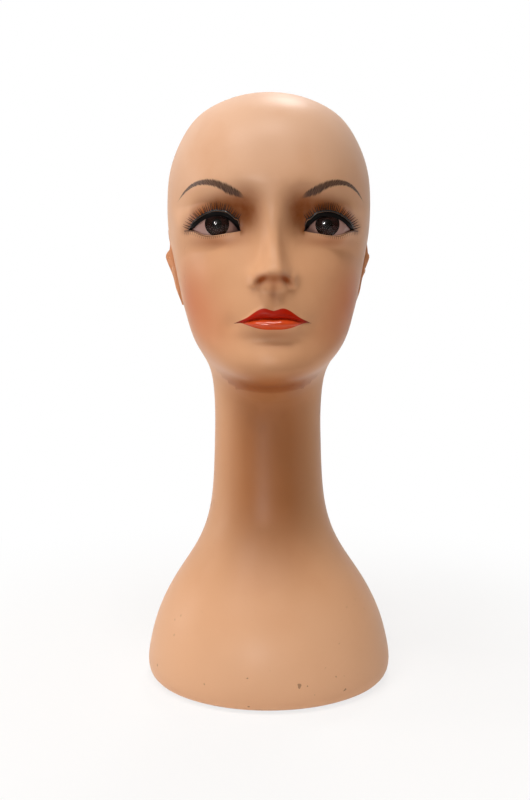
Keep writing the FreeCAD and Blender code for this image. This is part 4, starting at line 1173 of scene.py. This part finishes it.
# %% Skin paint
# The two lit flesh tones are painted light on the crown and the bust, and the throat colour is
# painted shadow.
FLESH, FLESH_PALE, FLESH_WARM = paint(215, 165, 126), paint(220, 172, 134), paint(205, 147, 104)
FLESH_LIT_CROWN, FLESH_LIT_BUST = paint(222, 186, 160), paint(232, 186, 150)
BLUSH, SHADOW, SHADE = paint(200, 110, 62), paint(128, 64, 0), paint(138, 64, 14)
UNDER_EYE, PAINTED_THROAT_SHADOW, CHIPPED = paint(156, 84, 44), paint(162, 100, 52), paint(120, 84, 62)
# The two lip colours are one lip paint, shaded above and lit below, and the crease colour is
# painted shade.
SHADED_UPPER_LIP, LIT_LOWER_LIP, LIP_CREASE_SHADE = paint(172, 26, 0), paint(208, 72, 26), paint(92, 18, 6)
BROW, LINER, LASH_INK = paint(68, 48, 40), paint(8, 6, 7), paint(60, 34, 28)
STROKE_PITCH = 1.35


def flesh_and_airbrush(skin, side, depth, up):
    """Cloudy flesh, painted light at crown and rim, chips, painted throat shadow, cheeks, eyes,
    shade.
    """
    colour = skin.mix(skin.ramp(skin.noise(9, 2), 0.35, 0.7), FLESH, FLESH_PALE)
    # Painted highlight: the upper head is paler, as where light from above falls on it.
    colour = skin.mix(skin.product(skin.ramp(up, 0.33, 0.42), 0.7), colour, FLESH_LIT_CROWN)
    blotch = skin.product(skin.ramp(skin.noise(26, 4), 0.4, 0.8), 0.30)
    colour = skin.mix(blotch, colour, FLESH_WARM)
    # Painted light: paler towards the rim, where top light falls on the flaring bust.
    colour = skin.mix(skin.product(skin.ramp(up, 0.105, 0.03), 0.75), colour, FLESH_LIT_BUST)
    specks = skin.ramp(skin.noise(190, 1), 0.745, 0.775)
    colour = skin.mix(skin.product(specks, skin.ramp(up, 0.08, 0.03), 0.6), colour, CHIPPED)
    # Painted shadow of the head down the middle of the throat and the top of the bust, fading
    # towards the neck's sides.
    throat_shadow = skin.product(
        skin.ramp(up, 0.07, 0.15), skin.ramp(up, 0.262, 0.235), skin.ramp(side, 0.046, 0.012),
        skin.ramp(depth, 0.02, -0.005), 0.8,
    )
    colour = skin.mix(throat_shadow, colour, PAINTED_THROAT_SHADOW)
    colour = skin.mix(skin.field("blush"), colour, BLUSH)
    mottled = skin.scaled(skin.noise(140, 3), 0.3, 0.85)
    colour = skin.mix(skin.product(skin.field("shadow"), mottled), colour, SHADOW)
    # Painted shade under nose, lip and chin, with the nostrils' own brown.
    shade = skin.math("MULTIPLY", skin.field("shade"), 0.85, clamp=True)
    colour = skin.mix(shade, colour, SHADE)
    return skin.mix(skin.product(skin.field("under_eye"), 0.5), colour, UNDER_EYE)


# %% Brows and lower lashes
def brows(skin, colour):
    """Fine hairs: noise that is stretched up the brow and leans outwards, with a ragged edge."""
    along, across = skin.field("brow_along"), skin.field("brow_across")
    flow = skin.scaled(along, 90.0, skin.product(across, -2.2))
    hair_place = skin.node("ShaderNodeCombineXYZ", {"X": flow, "Y": across})
    hairs = skin.noise(1.4, 2, where=hair_place, stretch=(1.0, 0.35, 1.0))
    fray = skin.product(skin.math("SUBTRACT", hairs, 0.5), 0.9)
    ragged = skin.math("ADD", skin.math("ABSOLUTE", across), fray)
    density = skin.product(
        skin.ramp(ragged, 1.15, 0.55), skin.ramp(along, -0.03, 0.10), skin.ramp(along, 1.03, 0.9),
        skin.scaled(skin.ramp(hairs, 0.70, 0.38), 0.26, 0.74),
    )
    return skin.mix(density, colour, BROW)


def lower_lashes(skin, colour, side):
    """Short strokes below the eye, a comb that fans outwards, and the inked edge of the lid."""
    gap = skin.field("lash_gap")
    fan = skin.product(skin.math("SUBTRACT", side, 0.034), 9.0, gap)
    comb = skin.math("SUBTRACT", skin.product(side, 1 / (STROKE_PITCH * MM)), fan)
    comb = skin.math("PINGPONG", comb, 0.5)
    reach = skin.scaled(skin.ramp(side, 0.034, 0.056), 1.6, 2.0)
    stroke = skin.product(
        skin.ramp(comb, 0.17, 0.06), skin.ramp(skin.math("DIVIDE", gap, reach), 1.0, 0.5),
        skin.ramp(gap, 0.05, 0.25), skin.ramp(side, 0.027, 0.036), 0.75,
    )
    colour = skin.mix(stroke, colour, LASH_INK)
    inked = skin.product(
        skin.ramp(gap, -0.4, -0.05), skin.ramp(gap, 0.85, 0.3), skin.ramp(side, 0.030, 0.050), 0.8
    )
    return skin.mix(inked, colour, LASH_INK)


# %% Lips and gloss
def lip_colour(skin, side, lip, above):
    """Lip paint: painted shade on the upper lip, painted light on the lower, shade at edges,
    crease, corners.
    """
    # Painted shade on the upper lip and painted light on the lower one, and painted shade towards
    # the outline.
    rouge = skin.mix(skin.ramp(above, -0.6, 0.5), LIT_LOWER_LIP, SHADED_UPPER_LIP)
    rouge = skin.mix(skin.product(skin.ramp(lip, 1.2, 0.0), 0.55), rouge, SHADED_UPPER_LIP)
    # Painted shade in the crease between the lips and in the mouth's corners.
    crease = skin.ramp(skin.math("ABSOLUTE", above), 0.75, 0.15)
    rouge = skin.mix(skin.product(crease, 0.15), rouge, LIP_CREASE_SHADE)
    return skin.mix(skin.ramp(side, 0.019, 0.027), rouge, LIP_CREASE_SHADE)


def gloss_and_grain(skin, on_lip, liner, above):
    """Satin skin, wet lips, glossiest below the mouth's line, and a fine spray grain."""
    gloss = skin.scaled(skin.ramp(above, 0.6, -0.3), 0.38, 0.12)
    sheen = skin.blend(on_lip, 0.2, gloss)
    satin = skin.scaled(skin.noise(35, 4), 0.12, 0.36)
    wet = skin.scaled(skin.noise(420, 2), 0.10, 0.10)
    wet = skin.math("ADD", wet, skin.product(skin.ramp(above, -0.8, 0.8), 0.22))
    wetness = skin.math("MAXIMUM", on_lip, skin.product(liner, 0.55))
    skin.put(
        Specular_IOR_Level=skin.blend(liner, sheen, 0.08), Roughness=skin.blend(wetness, satin, wet)
    )
    grain = skin.math("ADD", skin.noise(900, 2), skin.product(skin.noise(60, 3), 1.5))
    skin.bump(grain, 0.10, 0.0004)


def skin_finish():
    """The whole face paint, from the flesh colour up to the last brush stroke."""
    skin = Finish("painted_skin")
    axes = skin.node("ShaderNodeSeparateXYZ", {"Vector": skin.place}).node.outputs
    side = skin.math("ABSOLUTE", axes["X"])
    lip, above = skin.field("lip"), skin.field("lip_above")
    on_lip = skin.ramp(lip, -0.25, 0.3)
    liner = skin.ramp(skin.field("liner"), 0.3, 0.7)
    colour = flesh_and_airbrush(skin, side, axes["Y"], axes["Z"])
    colour = lower_lashes(skin, brows(skin, colour), side)
    colour = skin.mix(on_lip, colour, lip_colour(skin, side, lip, above))
    skin.put(Base_Color=skin.mix(liner, colour, LINER))
    gloss_and_grain(skin, on_lip, liner, above)
    print("skin paint:", len(skin.tree.nodes), "nodes")
    return skin


skin_paint = skin_finish()
for piece in (front_piece, rear_piece):
    coat(piece, skin_paint)

# %% [markdown]
# ## Eyes and lashes
# The dome is a dull pinkish white, darkened as painted shade of the lids, with a blush of pink
# towards its edges and a few faint veins.  The disc has fibres that run outwards from a black
# pupil, so its noise is read round the axis.  The cap is clear and glossy and the hairs are black
# nylon.

# %% Eye finishes
white = Finish("eye_white", Roughness=0.16, Specular_IOR_Level=0.5)
rim_blush = white.ramp(white.field("from_axis"), 12.0, 19.0)
pink = white.product(rim_blush, white.scaled(white.noise(90, 3), 0.5, 0.35))
# Painted shade: the white is darkened for the shade that the lids cast on it.
eye_tone_and_shade = white.mix(pink, paint(170, 137, 131), paint(150, 98, 90))
veins = white.noise(160, 5, distortion=1.2)
vein = white.ramp(white.math("ABSOLUTE", white.math("SUBTRACT", veins, 0.5)), 0.02, 0.0)
vein = white.product(rim_blush, 0.35, vein)
white.put(Base_Color=white.mix(vein, eye_tone_and_shade, paint(150, 60, 52)))

iris = Finish("iris_paint", Roughness=0.6, Specular_IOR_Level=0.1)
out = iris.field("from_axis")
round_axis = iris.node("ShaderNodeCombineXYZ", {
    "X": iris.product(iris.field("turn_cos"), 6.0),
    "Y": iris.product(iris.field("turn_sin"), 6.0),
    "Z": iris.product(out, 0.12),
})
fibre = iris.noise(2.4, 3, where=round_axis)
brown = iris.mix(iris.ramp(fibre, 0.3, 0.7), paint(22, 5, 4), paint(50, 16, 12))
brown = iris.mix(iris.ramp(out, 6.2, 8.2), brown, paint(16, 6, 5))
brown = iris.mix(iris.ramp(out, 3.6, 3.1), brown, paint(3, 2, 2))
iris.put(Base_Color=brown)

clear = Finish(
    "clear_cap", Base_Color=(1, 1, 1, 1), Roughness=0.13, IOR=1.33, Transmission_Weight=1.0
)
clear.put(Roughness=clear.scaled(clear.noise(60, 2), 0.04, 0.11))

band_paint = Finish("lash_band_lacquer", Roughness=0.25, Specular_IOR_Level=0.6)
band_paint.put(
    Base_Color=band_paint.mix(band_paint.noise(500, 2), paint(8, 7, 8), paint(26, 22, 24))
)
fibre_paint = Finish("lash_nylon", Roughness=0.5, Specular_IOR_Level=0.25)
fibre_paint.put(
    Base_Color=fibre_paint.mix(fibre_paint.noise(700, 2), paint(5, 3, 3), paint(18, 12, 11))
)
for word in ("left", "right"):
    dome, disc, cap = eyes[word]
    coat(dome, white)
    coat(disc, iris)
    coat(cap, clear)
    band, fringe = lash_pieces[word]
    coat(band, band_paint)
    coat(fringe, fibre_paint)

# %% [markdown]
# ## The base, inside and under the bust
# These pieces are plain turned, sawn and cut parts, so the CAD nodes are kept as they are and
# only get their materials: laminate, putty, fibreboard, spruce, zinc-plated steel, moulded
# plastic, cast iron and rubber.

# %% Finishes of the CAD nodes
def laminate_finish():
    """Glass-fibre mat under yellowish resin."""
    mat = Finish("glass_laminate", Roughness=0.45)
    strands = mat.noise(260, 5, stretch=(1, 0.3, 1), distortion=2.0)
    lighter = mat.ramp(strands, 0.4, 0.65)
    mat.put(Base_Color=mat.mix(lighter, paint(178, 160, 112), paint(206, 194, 158)))
    mat.bump(strands, 0.4, 0.0004)
    return mat


def putty_finish():
    """Smeared epoxy putty."""
    putty = Finish("epoxy_putty", Roughness=0.6)
    smears = putty.noise(120, 4, stretch=(1, 1, 0.4))
    putty.put(Base_Color=putty.mix(smears, paint(150, 140, 128), paint(186, 176, 160)))
    putty.bump(smears, 0.5, 0.0006)
    return putty


def board_finish():
    """Brown fibreboard: short fibres and a few darker flecks."""
    board = Finish("fibreboard", Roughness=0.72)
    fibres = board.noise(420, 6, stretch=(1, 0.35, 1), distortion=0.8)
    flecks = board.ramp(board.noise(900, 2), 0.66, 0.74)
    tone = board.mix(board.ramp(fibres, 0.3, 0.7), paint(128, 92, 60), paint(166, 126, 86))
    board.put(Base_Color=board.mix(flecks, tone, paint(84, 58, 38)))
    board.bump(fibres, 0.35, 0.0003)
    return board


def block_finish():
    """Sawn spruce: growth rings as waves that noise bends."""
    wood = Finish("spruce", Roughness=0.62)
    rings = wood.node("ShaderNodeTexWave", {
        "Vector": wood.place, "Scale": 42.0, "Distortion": 5.0, "Detail": 3.0, "Detail Scale": 1.4,
    }, bands_direction="Y")
    wood.put(Base_Color=wood.mix(rings, paint(206, 168, 116), paint(168, 118, 70)))
    wood.bump(wood.noise(500, 3, stretch=(0.2, 1, 1)), 0.3, 0.0003)
    return wood


def zinc_finish():
    """Zinc plate: metal with cloudy spots of a bluish and a yellowish tone."""
    zinc = Finish("zinc_plate", Metallic=1.0, Roughness=0.3)
    cloud = zinc.noise(300, 4)
    zinc.put(Base_Color=zinc.mix(cloud, paint(176, 180, 188), paint(206, 200, 178)))
    zinc.put(Roughness=zinc.scaled(cloud, 0.25, 0.2))
    zinc.bump(zinc.noise(1400, 2), 0.15, 0.0001)
    return zinc


def plastic_finish():
    """Black moulded plastic with a spark-eroded grain."""
    plastic = Finish("black_plastic", Roughness=0.5)
    grain = plastic.noise(1600, 3)
    plastic.put(Base_Color=plastic.mix(plastic.noise(40, 3), paint(24, 24, 26), paint(38, 38, 40)))
    plastic.bump(grain, 0.3, 0.0002)
    return plastic


def iron_finish():
    """Cast iron: pitted, with rust in patches."""
    iron = Finish("cast_iron", Roughness=0.62)
    rust = iron.ramp(iron.noise(70, 5), 0.52, 0.68)
    pits = iron.noise(700, 4)
    grey = iron.mix(pits, paint(52, 52, 54), paint(78, 76, 74))
    iron.put(Base_Color=iron.mix(rust, grey, paint(112, 62, 36)))
    iron.put(Metallic=iron.product(iron.math("SUBTRACT", 1.0, rust), 0.7))
    iron.bump(pits, 0.6, 0.0005)
    return iron


def rubber_finish():
    """Grey rubber, dusty where it has stood on the floor."""
    rubber = Finish("grey_rubber", Roughness=0.82)
    low = rubber.node("ShaderNodeSeparateXYZ", {"Vector": rubber.place}, output="Z")
    dust = rubber.product(rubber.ramp(low, 0.0015, 0.0), rubber.noise(300, 3))
    tone = rubber.mix(rubber.noise(200, 2), paint(44, 44, 45), paint(58, 57, 56))
    rubber.put(Base_Color=rubber.mix(dust, tone, paint(120, 114, 104)))
    rubber.bump(rubber.noise(1800, 2), 0.25, 0.0002)
    return rubber


zinc, putty = zinc_finish(), putty_finish()
NODE_FINISHES = {
    "seam_strip": (laminate_finish(), "laminate"),
    "left_eye_putty": (putty, "putty"),
    "right_eye_putty": (putty, "putty"),
    "base_plate": (board_finish(), "base_board"),
    "plate_blocks": (block_finish(), "block_wood"),
    "plate_screws": (zinc, "zinc_steel"),
    "socket_screws": (zinc, "zinc_steel"),
    "ballast_bolts": (zinc, "zinc_steel"),
    "ballast_nuts": (zinc, "zinc_steel"),
    "stand_socket": (plastic_finish(), "socket_plastic"),
    "ballast_ring": (iron_finish(), "ballast_iron"),
    "rubber_feet": (rubber_finish(), "foot_rubber"),
}
for name, (finish, slot) in NODE_FINISHES.items():
    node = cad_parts[name]
    for place in range(len(node.material_slots)):
        node.material_slots[place].material = finish.material
    if not node.material_slots:
        node.data.materials.append(finish.material)
    print(name, "wears", finish.material.name)

# %% [markdown]
# ## Everything rides on one body
# Nothing on this head moves, so the record has one body and every new piece rides on it.

# %% Ride
for piece in (front_piece, rear_piece):
    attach(piece, "root")
for word in ("left", "right"):
    for piece in (*eyes[word], *lash_pieces[word]):
        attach(piece, "root")

# %% [markdown]
# ## Studio
# A pale sweep stands for floor and backdrop: a level floor that curves up behind the head.  Soft
# lamps light the head from above, from the viewer's left and from behind, and one small lamp
# beside the camera, which shows only in gloss, gives the eyes their bright points.  The air is
# plain white to the camera.  What glossy and clear pieces see of it is white only behind the
# head: white all round would turn the clear caps of brown eyes grey.

# %% Floor and backdrop
SWEEP_WIDTH, SWEEP_FRONT, SWEEP_BACK, SWEEP_RADIUS, SWEEP_TOP = 9000, -5000, 2600, 1200, 5200


def sweep_points():
    """A profile of floor, quarter circle and wall, carried across."""
    turn = np.linspace(0, math.pi / 2, 24)
    bend = np.stack([
        SWEEP_BACK - SWEEP_RADIUS + SWEEP_RADIUS * np.sin(turn),
        SWEEP_RADIUS - SWEEP_RADIUS * np.cos(turn),
    ], -1)
    side_view = np.concatenate([[(SWEEP_FRONT, 0)], bend, [(SWEEP_BACK, SWEEP_TOP)]])
    across = np.linspace(-SWEEP_WIDTH / 2, SWEEP_WIDTH / 2, 9)
    grid = np.zeros((len(side_view), len(across), 3))
    grid[..., 0] = across
    grid[..., 1:] = side_view[:, None]
    return grid


def seen_white(tree, behind):
    """1 for what the camera sees, and the share `behind` for what gloss and glass see."""
    def step(operation, first, second):
        return add_node(tree, "ShaderNodeMath", {0: first, 1: second}, operation=operation)

    path = add_node(tree, "ShaderNodeLightPath", {}).node.outputs
    from_piece = step("MAXIMUM", path["Is Glossy Ray"], path["Is Transmission Ray"])
    return step("MAXIMUM", path["Is Camera Ray"], step("MULTIPLY", from_piece, behind))


def paper_finish():
    """White paper.  Away from the head the camera sees it plain white, and so do mirrors and glass
    where it lies behind the head; near the head it is lit like everything else and keeps the
    shadow."""
    paper = Finish("studio_paper", Roughness=0.9, Specular_IOR_Level=0.1)
    paper.put(Base_Color=paper.mix(paper.noise(3, 2), paint(247, 247, 247), paint(250, 250, 250)))
    deep = paper.node("ShaderNodeSeparateXYZ", {"Vector": paper.place}, output="Y")
    seen = seen_white(paper.tree, paper.ramp(deep, -0.3, 0.1))
    away = paper.node("ShaderNodeVectorMath", {0: paper.place}, output="Value", operation="LENGTH")
    share = paper.product(seen, paper.scaled(paper.ramp(away, 0.12, 0.5), 0.22, 0.78))
    plain = paper.node("ShaderNodeEmission", {"Color": (1, 1, 1, 1), "Strength": 1.0})
    both = paper.node("ShaderNodeMixShader", {0: share, 1: paper.shader.outputs[0], 2: plain})
    paper.tree.links.new(both, paper.tree.nodes["Material Output"].inputs["Surface"])
    return paper


sweep = sweep_points()
sweep_faces = grid_faces(numbers(sweep.shape[:2]))[:, ::-1]
floor = put_mesh("studio_sweep", sweep.reshape(-1, 3), [sweep_faces])
floor.data.materials.append(paper_finish().material)

# %% Lamps
HEAD_MIDDLE = (0.0, 0.0, 0.32)
LAMP_DISTANCE = 1.6


def place_lamp(name, azimuth, elevation, size, watts, colour=(1, 1, 1)):
    """A square area lamp that looks at the head.  Azimuth 0 is in front, negative on the left."""
    turn, rise = math.radians(azimuth), math.radians(elevation)
    across, level = math.sin(turn) * math.cos(rise), -math.cos(turn) * math.cos(rise)
    data = bpy.data.lights.new(name, "AREA")
    data.size = size
    data.energy = watts
    data.color = colour
    lamp = bpy.data.objects.new(name, data)
    bpy.context.scene.collection.objects.link(lamp)
    lamp.location = HEAD_MIDDLE + LAMP_DISTANCE * np.array([across, level, math.sin(rise)])
    lamp.rotation_euler = (math.pi / 2 - rise, 0, turn)
    print(f"{name}: {watts} W at azimuth {azimuth}, elevation {elevation}")
    return lamp


place_lamp("key_lamp", -48, 54, 0.5, 10.0, (1.0, 0.96, 0.93))
place_lamp("top_lamp", 6, 70, 0.45, 10.5, (1.0, 0.97, 0.94))
place_lamp("side_lamp", -98, 12, 0.6, 6.5, (1.0, 0.96, 0.93))
place_lamp("back_lamp", 168, 52, 0.3, 4.0)
place_lamp("eye_lamp", -11, 7.5, 0.27, 3.2, (1.0, 0.96, 0.92))
catch_light = place_lamp("catch_light", -13, 8, 0.3, 8.5)
catch_light.visible_diffuse = catch_light.visible_transmission = False

# %% Surroundings
AMBIENT_COLOUR, AMBIENT_STRENGTH = (1.0, 0.72, 0.50, 1.0), 0.17
BEHIND_FULL = 0.4
world = bpy.data.worlds.new("studio_air")
bpy.context.scene.world = world
world.use_nodes = True
air = world.node_tree
ambient = air.nodes["Background"].outputs[0]
ambient.node.inputs["Color"].default_value = AMBIENT_COLOUR
ambient.node.inputs["Strength"].default_value = AMBIENT_STRENGTH
white_air = add_node(air, "ShaderNodeBackground", {"Color": (1, 1, 1, 1)})
heading = add_node(air, "ShaderNodeTexCoord", {}, output="Generated")
deep = add_node(air, "ShaderNodeSeparateXYZ", {0: heading}, output="Y")
behind = add_node(air, "ShaderNodeMapRange", {"Value": deep, "From Max": BEHIND_FULL})
both_airs = add_node(
    air, "ShaderNodeMixShader", {0: seen_white(air, behind), 1: ambient, 2: white_air}
)
air.links.new(both_airs, air.nodes["World Output"].inputs["Surface"])
print("ambient strength", AMBIENT_STRENGTH)

# %% Camera
CAMERA_PLACE = (-0.0251, -0.7196, 0.305)
CAMERA_DOWN, CAMERA_TURN, CAMERA_LENS = 6.9, 1.75, 41.985
camera_data = bpy.data.cameras.new("camera")
camera_data.lens = CAMERA_LENS
camera_data.sensor_width = 36.0
camera_data.clip_start = 0.05
camera = bpy.data.objects.new("camera", camera_data)
bpy.context.scene.collection.objects.link(camera)
camera.location = CAMERA_PLACE
camera.rotation_euler = (math.radians(90 - CAMERA_DOWN), 0, math.radians(-CAMERA_TURN))
bpy.context.scene.camera = camera
bpy.context.scene.view_settings.view_transform = "Standard"
